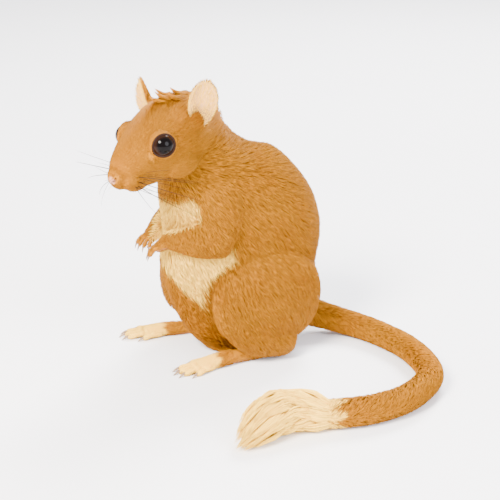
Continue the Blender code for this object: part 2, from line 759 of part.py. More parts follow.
def make_crown_tuft(head, frame):
    """A few short locks that stand up from the crown and lean forward."""
    turn = frame.to_3x3()
    locks = []
    for out, forward, length in CROWN_LOCKS:
        above = on_head(out, forward, HEAD[0][3] + OUTSIDE, frame)
        top = surface_line(head, [above], [turn @ Vector((0, 0, -1))])[0]
        ahead = turn @ Vector((out * 0.08, -0.94, 0.30)).normalized()
        lift = turn @ Vector((0, 0.1, 1))

        def path(share):
            rise = CROWN_RISE * share**2 - CROWN_SUNK
            return top + ahead * length * (share - CROWN_BACK) + lift * length * rise

        locks.append(lock(path, tuple(turn @ Vector((1, 0, 0))), *CROWN_LOCK))
    join_locks(head, locks)


def rest_on_floor(pieces, cutters):
    for piece in pieces:
        combine(piece, "DIFFERENCE", slab((0, 0, 0), (0, 0, -1), reach=400, depth=40), cutters)


def finish(nodes, coats):
    """Gives each node its coat, shades it smooth and hangs it on one empty over the middle."""
    for piece in nodes.objects:
        piece.data.materials.clear()
        piece.data.materials.append(coats[coat_of(piece.name)])
        piece.data.shade_smooth()
        piece.data.set_sharp_from_angle(angle=math.radians(40))
    points = np.array([corner.co for piece in nodes.objects for corner in piece.data.vertices])
    middle = (points.min(0) + points.max(0)) / 2
    root = bpy.data.objects.new("gerbil", None)
    root.location = (-middle[0], -middle[1], 0)
    nodes.objects.link(root)
    for piece in list(nodes.objects):
        if piece is not root:
            piece.parent = root


def coat_of(name):
    for start, coat in (("eye", "eye"), ("ear", "ear"), ("hind_foot", "cream"), ("tail_tuft", "cream")):
        if name.startswith(start):
            return coat
    return "golden"


def make_gerbil():
    clear_scene()
    nodes = bpy.data.collections.new("gerbil")
    cutters = bpy.data.collections.new("cutters")
    for collection in (nodes, cutters):
        bpy.context.scene.collection.children.link(collection)
    coats = {
        "golden": make_material("golden_fur", GOLDEN, 0.8),
        "cream": make_material("cream_fur", CREAM, 0.8),
        "ear": make_material("ear_skin", EAR_PINK, 0.6),
        "eye": make_material("eye", EYE_BLACK, 0.08),
    }
    frame = head_frame()
    torso = make_flesh(frame, nodes)

    nape = frame @ Vector(NAPE)
    facing = frame.to_3x3() @ Vector(NAPE_AXIS)
    head = part_off(torso, "head", lambda extra: slab(nape - facing * extra, facing), nodes, cutters)
    thin_out(head, HEAD_TRIANGLES)
    thin_out(torso, BODY_TRIANGLES)
    root_place, root_heading = tail_root()
    combine(torso, "DIFFERENCE", slab(root_place, root_heading, reach=30, depth=40), cutters)

    for side in SIGNS:
        paw, wrist, heading = make_paw(side, nodes, cutters)
        combine(torso, "DIFFERENCE", slab(wrist, heading, reach=11, depth=12), cutters)
        foot, ankle, ahead = make_foot(side, nodes, cutters)
        combine(torso, "DIFFERENCE", slab(ankle, ahead, reach=10, depth=30), cutters)
        limbs = (
            ("forearm", sided(FOREARM, side), (0, 0, 1), ARM_MARGIN),
            ("upper_arm", sided(UPPER_ARM, side), (1, 0, 0), ARM_MARGIN),
            ("haunch", hind(HAUNCH, side), (1, 0, 0), HAUNCH_MARGIN),
        )
        for name, rows, across, margin in limbs:
            part_off(torso, f"{name}_{side}", limb_cutter(rows, across, margin), nodes, cutters)
    upward = Vector(COLLAR_AXIS)
    part_off(torso, "neck", lambda extra: slab(Vector(COLLAR) - upward * extra, upward), nodes, cutters)
    make_tail(nodes)
    make_tuft(nodes)
    make_crown_tuft(head, frame)
    for side in SIGNS:
        make_ear(side, frame, head, nodes, cutters)
    for side in SIGNS:
        make_eye(side, frame, head, nodes, cutters)
    carve_face(head, frame, cutters)
    rest_on_floor([piece for piece in nodes.objects if reaches_below_floor(piece)], cutters)
    finish(nodes, coats)


def reaches_below_floor(piece):
    return min(corner.co.z for corner in piece.data.vertices) < 0


make_gerbil()
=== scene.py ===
"""The looks of the gerbil: one skin over the whole animal, a coat of solid hairs that lie along it,
long locks at the tail's tip and on the crown, wet dark eyes, claws and whiskers.
"""

import heapq
import math

import bmesh
import bpy
import numpy as np
from mathutils import Matrix, Vector
from mathutils.bvhtree import BVHTree
from mathutils.kdtree import KDTree


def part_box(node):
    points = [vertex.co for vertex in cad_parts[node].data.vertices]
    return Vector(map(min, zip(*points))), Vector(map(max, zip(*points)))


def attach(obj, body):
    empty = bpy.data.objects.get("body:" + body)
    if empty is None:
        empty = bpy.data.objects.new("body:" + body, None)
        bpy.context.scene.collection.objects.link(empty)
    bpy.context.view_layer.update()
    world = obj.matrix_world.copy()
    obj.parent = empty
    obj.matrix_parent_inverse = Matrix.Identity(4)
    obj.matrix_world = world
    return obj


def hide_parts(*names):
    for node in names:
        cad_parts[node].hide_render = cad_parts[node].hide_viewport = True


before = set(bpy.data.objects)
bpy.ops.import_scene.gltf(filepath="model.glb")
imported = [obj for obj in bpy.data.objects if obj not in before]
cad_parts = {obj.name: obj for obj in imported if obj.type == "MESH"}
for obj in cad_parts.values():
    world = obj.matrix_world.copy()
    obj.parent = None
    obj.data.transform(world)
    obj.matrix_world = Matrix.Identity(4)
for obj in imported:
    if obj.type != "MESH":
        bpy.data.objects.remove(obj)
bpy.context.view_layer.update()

# Shapes are made in millimetres, in the gerbil's own space: it faces -Y, its left side is +X and the
# floor is at 0. SHIFT, from the frame's left eye, carries them to the frame.
MM = 0.001
SIGNS = {"left": 1, "right": -1}

# Torso rows from rump to nape: x, y, z, half width, half depth to the back and to the belly
TORSO = (
    (0.0, 2.5, 6.0, 12.0, 19.5, 19.0),
    (0.0, 1.0, 14.0, 16.0, 24.6, 24.0),
    (0.0, -1.0, 27.0, 18.5, 27.2, 27.5),
    (0.0, -3.0, 40.0, 18.5, 30.9, 28.5),
    (0.0, -7.5, 51.0, 17.0, 28.6, 25.5),
    (0.0, -13.5, 61.0, 14.8, 23.5, 18.5),
    (0.0, -17.0, 70.0, 12.8, 16.5, 14.0),
    (0.0, -19.5, 79.0, 11.5, 11.5, 11.0),
)

# The head's own space has its origin at the nape; out, forward and up there are +X, -Y and +Z
HEAD_PIVOT = (0.0, -17.0, 83.0)
HEAD_YAW = math.radians(24)
HEAD_PITCH = math.radians(16)
HEAD = (
    (0.0, 0.0, 0.0, 10.5, 9.5, 11.0),
    (0.0, -6.0, 0.2, 12.4, 11.8, 12.4),
    (0.0, -13.0, 0.0, 12.9, 12.2, 12.2),
    (0.0, -20.0, -0.8, 11.8, 11.0, 10.8),
    (0.0, -26.0, -1.6, 9.9, 9.4, 9.4),
    (0.0, -31.0, -2.3, 7.5, 7.5, 7.8),
    (0.0, -34.6, -2.8, 5.5, 5.7, 6.2),
    (0.0, -36.4, -3.0, 3.9, 4.0, 4.5),
)
# Rounded masses on the head: place and half sizes, each out, forward and up
WHISKER_PAD = ((3.1, 33.2, -4.6), (3.3, 4.3, 3.0))
CHEEK = ((7.8, 16.5, -5.5), (4.2, 7.2, 5.0))
CHIN = ((0.0, 29.8, -8.6), (2.7, 4.1, 2.1))
NOSE_TIP = ((0.0, 38.2, -2.0), (1.7, 1.4, 1.3))

EYE_RADIUS = 3.9
EYE_PLACE = (8.2, 22.6, 3.2)
EYE_AXIS = (0.88, 0.38, 0.29)

EAR_HEIGHT = 10.8
EAR_WIDTH = 10.4
EAR_THICK = 0.55
EAR_WAIST = 0.4  # how far up it is widest, as a share of its height
EAR_FOOT = 0.62  # its width at the foot, as a share of its greatest
EAR_CURL = 92  # degrees that it curls round at the foot, and how many fewer at the tip
EAR_UNCURL = 62
# Each ear by its own turn, as a gerbil swivels them: where it stands, and how far it leans back, leans
# out and faces out
EAR_PLACE = {"left": (9.3, 6.0, 6.0), "right": (9.5, 8.0, 5.7)}
EAR_TURNS = {
    "left": (math.radians(-16), math.radians(20), math.radians(40)),
    "right": (math.radians(-4), math.radians(44), math.radians(8)),
}

# One side's limbs, on the left: x, y, z and half sizes along each
HAUNCH = (
    (9.0, 13.8, 19.0, 11.0, 15.5, 16.0),
    (12.5, 5.0, 21.0, 11.5, 19.0, 19.5),
    (14.5, -5.0, 22.5, 10.0, 17.0, 18.5),
    (15.8, -14.0, 22.5, 7.2, 11.5, 13.5),
)
SHANK = (
    (15.5, -12.5, 19.0, 7.5, 7.5, 7.5),
    (15.0, -5.0, 10.0, 8.0, 8.0, 8.5),
    (14.0, 5.0, 6.0, 8.0, 6.0, 7.0),
)
UPPER_ARM = (
    (10.5, -13.5, 59.0, 7.5, 8.5, 8.5),
    (13.8, -14.0, 52.0, 6.6, 7.4, 7.4),
    (16.0, -15.5, 45.5, 5.2, 5.6, 5.6),
)
FOREARM = (
    (16.4, -15.5, 46.6, 7.6, 5.4, 5.4),
    (14.6, -21.0, 45.4, 6.1, 4.8, 4.8),
    (10.6, -26.0, 44.7, 4.3, 3.9, 3.9),
    (6.4, -29.5, 44.2, 3.1, 3.1, 3.1),
)

WRIST = (7.2, -28.6, 44.2)
PAW_TURNS = (math.radians(-24), math.radians(22))
PALM = (
    (0.0, 2.5, 0.0, 3.0, 2.8, 2.8),
    (0.0, -0.5, 0.0, 2.8, 2.2, 2.2),
    (0.0, -3.1, -0.2, 3.2, 1.9, 1.9),
    (0.0, -5.2, -0.6, 2.7, 1.4, 1.4),
)
# Digits by where their roots lie across the palm or sole, spread in degrees, share of the full
# length, and how far back the root is set
FINGERS = ((-2.3, -12, 0.82, 0.0), (-0.8, -4, 1.0, 0.0), (0.7, 5, 1.0, 0.0), (2.1, 14, 0.86, 0.0))
FINGER = (4.4, 0.85, 1.5)  # length, radius and arch
# Along a finger or toe: share of its length, share of its radius and share of its arch
DIGIT_SHAPE = (
    (-0.35, 1.0, 0.0),
    (0.05, 0.92, 0.25),
    (0.3, 1.02, 0.4),
    (0.5, 0.86, 0.2),
    (0.78, 1.05, -0.2),
    (0.95, 0.9, -0.5),
)
DIGIT_COAT = 0.18
FINGER_CLAW = (1.6, 0.34, 0.7)  # length, radius and how far it points down
# Along a claw: share of its length and share of its radius
CLAW_SHAPE = ((-0.45, 0.85), (-0.1, 1.0), (0.25, 0.86), (0.6, 0.56), (0.95, 0.12))
CLAW_HOOK = 0.45

LEG_AHEAD = {"left": -2.5, "right": 5.8}
HEEL = (14.0, -3.1)
FOOT_YAWS = {"left": math.radians(5), "right": math.radians(-11)}
SOLE = (
    (0.0, 0.0, 2.1, 2.9, 2.6, 2.4),
    (0.0, -9.0, 2.1, 2.9, 2.9, 2.4),
    (0.0, -16.9, 2.0, 3.5, 2.3, 2.3),
    (0.0, -22.5, 1.6, 3.7, 1.6, 1.9),
)
TOES = (
    (-3.1, -16, 0.62, 3.2),
    (-1.55, -6, 0.95, 0.4),
    (0.0, 1, 1.0, 0.0),
    (1.55, 8, 0.95, 0.4),
    (3.1, 17, 0.7, 2.2),
)
TOE = (7.2, 1.15, 0.7)
TOE_CLAW = (2.7, 0.46, 0.12)
ANKLE = 15.5  # forward of the heel, where the leg's golden coat ends

# The tail's middle line on the floor, from inside the rump round to the tuft's tip, and its radius
TAIL_PLAN = (
    (0, 12), (0, 22), (5, 33), (17, 42), (36, 46.5), (56, 43),
    (68, 29), (71.5, 14), (70, 1), (66, -14), (75, -33),
)
TAIL_RADII = (7.5, 5.6, 4.8, 4.5, 4.5, 4.6, 4.7, 4.8, 4.9, 4.9, 1.0)
TAIL_LIFTS = (9.0, 4.0, 1.0, 0.0, 0.0, 0.0, 0.0, 0.0, 0.0, 0.0, 0.0)
FLAT_DEPTH = 0.25
TAIL_STEPS = 10
# Where fingers and toes reach, past the palm and the sole
FINGER_REACH = ((0.0, -7.4, -0.9, 3.4, 1.2, 1.2), (0.0, -10.0, -1.4, 3.8, 1.0, 1.0))
TOE_REACH = ((0.0, -26.5, 1.3, 4.6, 1.2, 1.4), (0.0, -30.5, 1.2, 5.4, 1.1, 1.2))
TUFT_START = 8  # the row of the plan where the tuft begins
TUFT_LENGTH = 37.0
TUFT_SPREAD = ((0.0, 4.9), (0.2, 6.2), (0.45, 7.0), (0.7, 6.0), (0.9, 3.9), (1.0, 2.6))
# Tiers of locks: where their roots are and how far they run, as shares of the tuft's length, how many
# lie round the tail and how far out
TUFT_TIERS = (
    (-0.06, 0.42, 12, 0.95),
    (0.06, 0.44, 12, 0.95),
    (0.16, 0.46, 12, 0.95),
    (0.26, 0.48, 12, 0.95),
    (0.36, 0.50, 10, 0.92),
    (0.43, 0.53, 9, 0.75),
    (0.45, 0.55, 6, 0.48),
    (0.50, 0.47, 4, 0.25),
)
TUFT_LOCK = (4.0, 1.7)  # width and thickness
TUFT_HAIRS = 64  # in each lock
LOCK_ROOT = 0.45  # how far out a lock's root lies, as a share of the tuft's half width
CORE_REACH = 0.42  # how far the tail's flesh reaches into the tuft, as a share of its length
CORE_RADII = ((0.0, 0.15, CORE_REACH), (3.6, 3.0, 1.3))

CROWN_LOCKS = ((0.0, 9.5, 7.8), (-2.4, 7.0, 7.0), (2.4, 7.6, 7.0), (0.4, 3.6, 7.6), (-0.9, 12.0, 6.0))
CROWN_BACK = 0.3  # how far back of its place a lock starts, as a share of its length
CROWN_RISE = 0.52  # how far its tip stands up, as a share of its length
CROWN_LOCK = (3.8, 2.2)
CROWN_HAIRS = 110

# The coat on each part: share along it, depth from skin to tips, and length and width of a hair. Real
# hairs are 0.02 to 0.06 mm wide, too fine to show, so these are wider and fewer
COATS = {
    "torso": ((0.0, 1.4, 4.8, 0.23), (0.55, 1.5, 5.0, 0.23), (0.8, 1.3, 4.4, 0.22), (1.0, 1.2, 3.8, 0.21)),
    "head": (
        (0.0, 1.2, 3.8, 0.21),
        (0.35, 0.9, 2.7, 0.19),
        (0.6, 0.6, 1.8, 0.17),
        (0.8, 0.42, 1.25, 0.14),
        (1.0, 0.30, 0.8, 0.11),
    ),
    "haunch": ((0.0, 1.5, 4.8, 0.23), (1.0, 1.3, 4.0, 0.22)),
    "shank": ((0.0, 1.4, 4.0, 0.24), (1.0, 1.1, 3.2, 0.22)),
    "upper_arm": ((0.0, 1.3, 4.2, 0.22), (1.0, 1.0, 3.4, 0.20)),
    "forearm": ((0.0, 1.1, 3.4, 0.20), (1.0, 0.5, 1.9, 0.16)),
    "forepaw": ((0.0, 0.40, 1.4, 0.14), (1.0, 0.2, 0.7, 0.10)),
    "hind_foot": ((0.0, 0.7, 2.4, 0.18), (0.5, 0.40, 1.6, 0.14), (1.0, 0.25, 0.9, 0.11)),
    "tail": ((0.0, 1.3, 4.2, 0.22), (0.3, 0.9, 3.1, 0.20), (0.8, 1.0, 3.2, 0.20), (1.0, 1.2, 4.2, 0.22)),
}
COAT_HAIRS = 172000
PIECE_TRIANGLES = 190000
STRAIGHT_COATS = ("head", "paw")  # where hairs are so short that each is one straight spike
LOCK_ROWS = 9  # along a lock of the tuft
LOCK_POINTS = 6  # along each of its hairs

BLEND = 2.0  # over how many millimetres one part's coat gives way to the next
LID_OPENING = (math.radians(60), math.radians(54))  # half angles along and across the eye
LID_CORNER = math.radians(6)
LID_PROUD = 0.5  # how far the lids stand out from the eyeball
LID_SUNK = 0.6  # how far the skin inside their opening lies under its surface
LID_FLESH = 0.45

# Lines on the face, where they are cast from in the head's space
MOUTH_MIDDLE = (0.0, 30.5, -6.9)
MOUTH_SWEEP = math.radians(78)
CLEFT_HEIGHTS = (-3.4, -4.2, -5.0, -5.8, -6.5)
NOSTRIL_LINE = ((0.75, -3.0), (1.15, -2.9), (1.6, -2.5), (1.85, -1.9))
# Their depth, their width and the swell beside them, then how deep the painted shade along them is and how
# far bare the skin is
GROOVES = {"mouth": (0.45, 0.28, 0.12), "cleft": (0.36, 0.25, 0.08), "nostril": (0.75, 0.26, 0.16)}
# Painted shade: how dark each crease of the face is painted
LINE_SHADE = {"mouth": 0.95, "cleft": 0.75, "nostril": 1.0}
BARE_LINES = {"mouth": 0.30, "cleft": 0.2, "nostril": 0.75}
MUZZLE_START = 31.0

# The cream belly's half width in degrees round the body at each height, and the planes that end it
# above, as a bib, and below, where the golden thigh of the right leg crosses it
BELLY_HEIGHTS = (0.0, 20.0, 40.0, 54.0, 58.0, 62.0)
BELLY_ANGLES = (78.0, 76.0, 66.0, 64.0, 50.0, 40.0)
BIB_TOP = (0.0, -26.0, 57.6)
BIB_AXIS = (0.0, -0.25, 1.0)
THIGH_TOP = (0.3, -28.7, 34.3)
THIGH_AXIS = (0.56, 0.36, 0.75)

# How hairs differ: ranges of length, as shares of the coat's, and of how high they stand where they
# bend and at the tip, as shares of its depth
HAIR_LENGTHS = (0.75, 1.15)
HAIR_BEND = 0.45  # how far along a hair bends over
BEND_HEIGHTS = (0.4, 0.95)
TIP_HEIGHTS = (0.7, 1.15)
WANDER = 0.16  # how far a hair's way strays from the coat's, in radians
# Guard hairs: their share of all, and how much longer and higher they are
GUARD_SHARE = 0.07
GUARD_LENGTH = 1.3
GUARD_RISE = 0.25
# Clumps: hairs to one leader, how far it draws them, as a share of their length, and how strongly
CLUMP_SIZE = 8
CLUMP_REACH = 0.5
BEND_PULL = 0.25
TIP_PULL = 0.45
STRAY = 0.45  # how far a marking's edge is broken up by its hairs
SUNK = 0.15  # how far a hair's root lies under the skin
FLOOR_GAP = 0.08
FLAT_HEIGHT = 0.15  # the skin of the soles that rests on the floor, below this, is bare
PRESSED_COAT = 0.45  # between the floor and the skin that the belly rests on
EAR_HAIRS = 2600
EAR_HAIR_LENGTHS = (1.0, 1.7)
EAR_HAIR_WIDTHS = (0.10, 0.15)
EAR_BEND_HEIGHT = 0.16
EAR_TIP_HEIGHTS = (0.12, 0.4)
TUFT_HAIR = 0.30  # width, coarser than the real one's as the coat's are
CROWN_HAIR = 0.24
# A lock's width at shares of its length, in the tail's tuft and on the crown
TUFT_SHAPE = ((0.0, 0.25, 0.55, 0.8, 1.0), (0.7, 1.0, 0.85, 0.5, 0.1))
CROWN_SHAPE = ((0.0, 0.25, 0.55, 0.8, 1.0), (1.7, 1.25, 0.8, 0.42, 0.08))
PATCH = 0.003
SEED = 5

# The coat's pieces, by the parts that they grow on
COAT_PIECES = {
    "torso": "torso",
    "head": "head",
    "tail": "tail",
    "haunch": "haunch",
    "shank": "haunch",
    "upper_arm": "arm",
    "forearm": "arm",
    "forepaw": "paw",
    "hind_foot": "paw",
}

# Each side's three long whiskers: root and aim, both out, forward and up, length and droop
LONG_WHISKERS = (
    (5.5, 33.0, -3.4, 0.95, 0.12, 0.02, 25.0, 0.30),
    (5.6, 33.6, -4.8, 0.93, 0.05, -0.20, 24.0, 0.34),
    (5.2, 34.0, -6.0, 0.85, 0.05, -0.42, 20.0, 0.36),
)
WHISKER_LIFT = {"left": 0.22, "right": 0.0}  # how much higher each side holds them
FINE_WHISKERS = 9
WHISKER_POINTS = 10
PALE_FROM = 0.6  # how much of the tip's colour the shortest and the longest hairs have at the root
WHISKER_WIDTH = 0.38  # drawn thicker than a real one, of 0.1 mm, so that it shows
WHISKER_TAPER = 0.8
CORNEA = 0.05  # how much fuller the ball is at the cornea's middle
CORNEA_SPREAD = math.radians(40)

GOLDEN_ROOT = "#8A5A04"
GOLDEN_TIP = "#B87A06"
GOLDEN_SHADE = "#E2CFA6"
CREAM_ROOT = "#EEBE4C"
CREAM_TIP = "#FFD252"
BARE_PINK = "#D9A184"
BARE_BROWN = "#A8705A"
# The dark lid rims' colour, also used as painted shade in the face's creases and the ears' cups
RIM_AND_SHADE_BROWN = "#22130C"
EYE_PUPIL = "#050303"
EYE_DARK = "#120905"
EYE_BROWN = "#2B160B"
CLAW_BROWN = "#5A4030"
CLAW_PALE = "#A98C6E"
WHISKER_DARK = "#0C0806"
WHISKER_TIP = "#33261B"
FLOOR_LIGHT = "#FAF9FB"
FLOOR_SHADE = "#F6F5F8"
SKY = "#F7F7FC"
SKY_STRENGTH = 1.7
FLOOR_HALF = 3.0

# The camera looks at its target from this many degrees round to the animal's left and up
CAMERA_TARGET = (19.6, -5.9, 42.0)
CAMERA_ANGLES = (68, 20)
CAMERA_DISTANCE = 420
CAMERA_LENS = 92
CAMERA_SENSOR = 36
# Lights by name, place from the camera's target in metres, size, power and colour
LIGHTS = (
    ("key", (0.35, -0.55, 0.60), 0.34, 36.0, "#FFF8EE"),
    ("fill", (0.65, 0.35, 0.35), 0.60, 12.0, "#F4F7FF"),
    ("rim", (-0.45, 0.45, 0.60), 0.40, 20.0, "#FFFFFF"),
)

SKIN_GRAIN = 0.36
SKIN_TRIANGLES = 170000
FLOW_GRAIN = 1.8


def spline(rows, steps):
    """Rows of numbers, filled in by a Catmull-Rom curve with this many steps a span."""
    rows = np.array(rows, float)
    ends = np.vstack([2 * rows[0] - rows[1], rows, 2 * rows[-1] - rows[-2]])
    filled = []
    for k in range(len(rows) - 1):
        a, b, c, d = ends[k : k + 4]
        for t in np.arange(steps) / steps:
            curve = 2 * b + (c - a) * t + (2 * a - 5 * b + 4 * c - d) * t**2
            curve += (3 * b - a - 3 * c + d) * t**3
            filled.append(curve / 2)
    filled.append(rows[-1])
    return np.array(filled)


def unit(vectors):
    return vectors / np.maximum(np.linalg.norm(vectors, axis=-1, keepdims=True), 1e-9)


def smooth_step(values, low, high):
    share = np.clip((values - low) / (high - low), 0, 1)
    return share * share * (3 - 2 * share)


def moved(points, matrix):
    turn = np.array(matrix)
    return points @ turn[:3, :3].T + turn[:3, 3]


head_space = (
    Matrix.Translation(HEAD_PIVOT) @ Matrix.Rotation(HEAD_YAW, 4, "Z") @ Matrix.Rotation(HEAD_PITCH, 4, "X")
)


def on_head(out, forward, up):
    return head_space @ Vector((out, -forward, up))


def toward_head(out, forward, up):
    return (head_space.to_3x3() @ Vector((out, -forward, up))).normalized()


def middle_of(node):
    low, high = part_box(node)
    return (low + high) / 2


SHIFT = middle_of("eye_left") - on_head(*EYE_PLACE) * MM
TO_FRAME = Matrix.Translation(SHIFT) @ Matrix.Scale(MM, 4)


def paw_space(side):
    yaw, pitch = PAW_TURNS
    turn = Matrix.Rotation(yaw, 4, "Z") @ Matrix.Rotation(pitch, 4, "X")
    return Matrix.Diagonal((SIGNS[side], 1, 1, 1)) @ Matrix.Translation(WRIST) @ turn


def foot_space(side):
    heel = (SIGNS[side] * HEEL[0], HEEL[1] - LEG_AHEAD[side], 0)
    turn = Matrix.Rotation(FOOT_YAWS[side], 4, "Z")
    return Matrix.Translation(heel) @ turn @ Matrix.Diagonal((SIGNS[side], 1, 1, 1))


class Part:
    """A length of the body: rings along it, and the coat that grows on it. Past its own rings it can
    reach over digits, which have shapes of their own."""

    def __init__(self, name, rows, coat, space=None, side=(1, 0, 0), steps=6, reach=()):
        self.rings = (len(rows) - 1) * steps + 1
        rows = spline([*rows, *reach], steps)
        space = space or Matrix.Identity(4)
        self.name, self.coat = name, np.array(COATS[coat])
        self.centres = moved(rows[:, :3], space)
        self.sizes = rows[:, 3:]
        self.headings = unit(np.gradient(self.centres, axis=0))
        side = np.array(space.to_3x3() @ Vector(side))
        self.across = unit(side - (self.headings @ side)[:, None] * self.headings)
        self.up = np.cross(self.headings, self.across)
        self.run = np.concatenate([[0], np.cumsum(np.linalg.norm(np.diff(self.centres, axis=0), axis=1))])
        self.length = self.run[self.rings - 1]

    def coat_at(self, share):
        """Depth, hair length and hair width at shares along the part."""
        return [np.interp(share, self.coat[:, 0], self.coat[:, k]) for k in (1, 2, 3)]

    def nearest(self, points):
        """How far outside it each point is, with its share along and its angle round."""
        gaps = points[:, None, :] - self.centres[None, :, :]
        ring = (np.linalg.norm(gaps, axis=2) - self.sizes.mean(axis=1)).argmin(axis=1)
        gap = gaps[np.arange(len(points)), ring]
        along, rise, out = ((gap * way[ring]).sum(axis=1) for way in (self.headings, self.up, self.across))
        wide, above, below = self.sizes[ring].T
        tall = np.where(rise > 0, above, below)
        stretch = np.sqrt((out / wide) ** 2 + (rise / tall) ** 2 + (along / tall) ** 2)
        far = np.linalg.norm(gap, axis=1) * (1 - 1 / np.maximum(stretch, 1e-6))
        share = np.clip((self.run[ring] + along) / self.length, 0, 1)
        return far, share, np.arctan2(rise, out)


def sided(rows, side):
    return [(SIGNS[side] * row[0], *row[1:]) for row in rows]


def hind(rows, side):
    """A hind limb's rows, with the knee end carried forward as its foot is."""
    hip, knee = HAUNCH[0][1], HAUNCH[-1][1]
    shifted = []
    for x, y, *rest in sided(rows, side):
        shifted.append((x, y - LEG_AHEAD[side] * (hip - y) / (hip - knee), *rest))
    return shifted


def tail_rows():
    return [
        (x, y, radius + lift - FLAT_DEPTH, radius, radius, radius)
        for (x, y), radius, lift in zip(TAIL_PLAN, TAIL_RADII, TAIL_LIFTS)
    ]


def body_parts():
    parts = [
        Part("torso", TORSO, "torso"),
        Part("head", HEAD, "head", head_space),
        Part("tail", tail_rows()[: TUFT_START + 1], "tail", side=(0, 0, 1), steps=TAIL_STEPS),
    ]
    for side in SIGNS:
        shank = [(x, y - LEG_AHEAD[side], *rest) for x, y, *rest in sided(SHANK, side)]
        parts += [
            Part(f"haunch_{side}", hind(HAUNCH, side), "haunch"),
            Part(f"shank_{side}", shank, "shank"),
            Part(f"upper_arm_{side}", sided(UPPER_ARM, side), "upper_arm"),
            Part(f"forearm_{side}", sided(FOREARM, side), "forearm", side=(0, 0, 1)),
            Part(f"forepaw_{side}", PALM, "forepaw", paw_space(side), reach=FINGER_REACH),
            Part(f"hind_foot_{side}", SOLE, "hind_foot", foot_space(side), reach=TOE_REACH),
        ]
    return parts


# Making shapes


def tube(centres, across, up, sizes, around):
    """A closed tube of rings that are wide, and tall above and below, by their own sizes."""
    mesh = bmesh.new()
    rings = []
    for centre, wide_way, tall_way, (wide, above, below) in zip(centres, across, up, sizes):
        ring = bmesh.ops.create_circle(mesh, segments=around, radius=1.0)["verts"]
        for vertex in ring:
            x, y, _ = vertex.co
            tall = above if y > 0 else below
            vertex.co = centre + wide_way * wide * x + tall_way * tall * y
        rings.append(list({edge for vertex in ring for edge in vertex.link_edges}))
    for first, second in zip(rings, rings[1:]):
        bmesh.ops.bridge_loops(mesh, edges=first + second)
    bmesh.ops.holes_fill(mesh, edges=rings[0] + rings[-1], sides=around)
    bmesh.ops.recalc_face_normals(mesh, faces=mesh.faces)
    return mesh


def domed(centres, across, up, sizes):
    """The same rings, closed off in a dome at each end."""
    heading = unit(np.gradient(centres, axis=0))
    starts, ends = [], []
    for angle in np.radians((76, 54, 28)):
        for rings, k, outward in ((starts, 0, -1), (ends, -1, 1)):
            reach = sizes[k].min() * 0.8 * math.sin(angle)
            middle = centres[k] + outward * heading[k] * reach
            rings.append((middle, across[k], up[k], sizes[k] * math.cos(angle)))
    whole = starts + list(zip(centres, across, up, sizes)) + ends[::-1]
    return [np.array(column) for column in zip(*whole)]


def flesh_tube(part, around):
    """A part's own tube, inside its outline by the depth of the coat."""
    depth, _, _ = part.coat_at(part.run / part.length)
    rings = (part.centres, part.across, part.up, part.sizes - depth[:, None])
    return tube(*domed(*(column[: part.rings] for column in rings)), around)


def ball(centre, radii, space=None):
    mesh = bmesh.new()
    place = (space or Matrix.Identity(4)) @ (Matrix.Translation(centre) @ Matrix.Diagonal((*radii, 1)))
    bmesh.ops.create_icosphere(mesh, subdivisions=4, radius=1.0, matrix=place)
    return mesh


def rod(rows, space, around=14, steps=5, ends=True):
    """A tube through rows of a centre and a radius, in a space of its own."""
    rows = spline(rows, steps)
    centres = moved(rows[:, :3], space)
    heading = unit(np.gradient(centres, axis=0))
    side = np.array(space.to_3x3() @ Vector((1, 0, 0)))
    across = unit(side - (heading @ side)[:, None] * heading)
    sizes = np.repeat(rows[:, 3:4], 3, axis=1)
    rings = (centres, across, np.cross(heading, across), sizes)
    return tube(*(domed(*rings) if ends else rings), around)


def joined(meshes):
    whole = bmesh.new()
    for mesh in meshes:
        data = bpy.data.meshes.new("piece")
        mesh.to_mesh(data)
        mesh.free()
        whole.from_mesh(data)
        bpy.data.meshes.remove(data)
    return whole


def to_object(name, mesh):
    data = bpy.data.meshes.new(name)
    mesh.to_mesh(data)
    mesh.free()
    piece = bpy.data.objects.new(name, data)
    bpy.context.scene.collection.objects.link(piece)
    return piece


def apply_modifiers(piece):
    graph = bpy.context.evaluated_depsgraph_get()
    graph.update()
    mesh = bpy.data.meshes.new_from_object(piece.evaluated_get(graph))
    piece.modifiers.clear()
    old, piece.data = piece.data, mesh
    bpy.data.meshes.remove(old)


def remesh(piece, grain):
    fused = piece.modifiers.new("fuse", "REMESH")
    fused.mode = "VOXEL"
    fused.voxel_size = grain
    apply_modifiers(piece)


def points_of(mesh):
    points = np.empty(len(mesh.vertices) * 3, np.float32)
    mesh.vertices.foreach_get("co", points)
    return points.reshape(-1, 3).astype(float)


def normals_of(mesh):
    normals = np.empty(len(mesh.vertices) * 3, np.float32)
    mesh.vertex_normals.foreach_get("vector", normals)
    return normals.reshape(-1, 3).astype(float)


def put_points(mesh, points):
    mesh.vertices.foreach_set("co", points.astype(np.float32).ravel())
    mesh.update()


def put_values(mesh, name, values):
    attribute = mesh.attributes.new(name, "FLOAT", "POINT")
    attribute.data.foreach_set("value", values.astype(np.float32))


def weigh(piece, name, weights):
    """A vertex group from one weight a point, in ten steps."""
    group = piece.vertex_groups.new(name=name)
    steps = np.round(np.clip(weights, 0, 1) * 10).astype(int)
    for step in range(1, 11):
        group.add(np.nonzero(steps == step)[0].tolist(), step / 10, "REPLACE")
    return name


def digit(root, yaw, length, radius, arch):
    """Rows of one finger or toe, and where its claw grows and heads."""
    heading = Vector((math.sin(yaw), -math.cos(yaw), 0))
    rows = []
    for share, size, rise in DIGIT_SHAPE:
        place = Vector(root) + heading * length * share + Vector((0, 0, arch * rise))
        rows.append((*place, radius * size))
    return rows, Vector(root) + heading * length + Vector((0, 0, -arch * 0.5)), heading


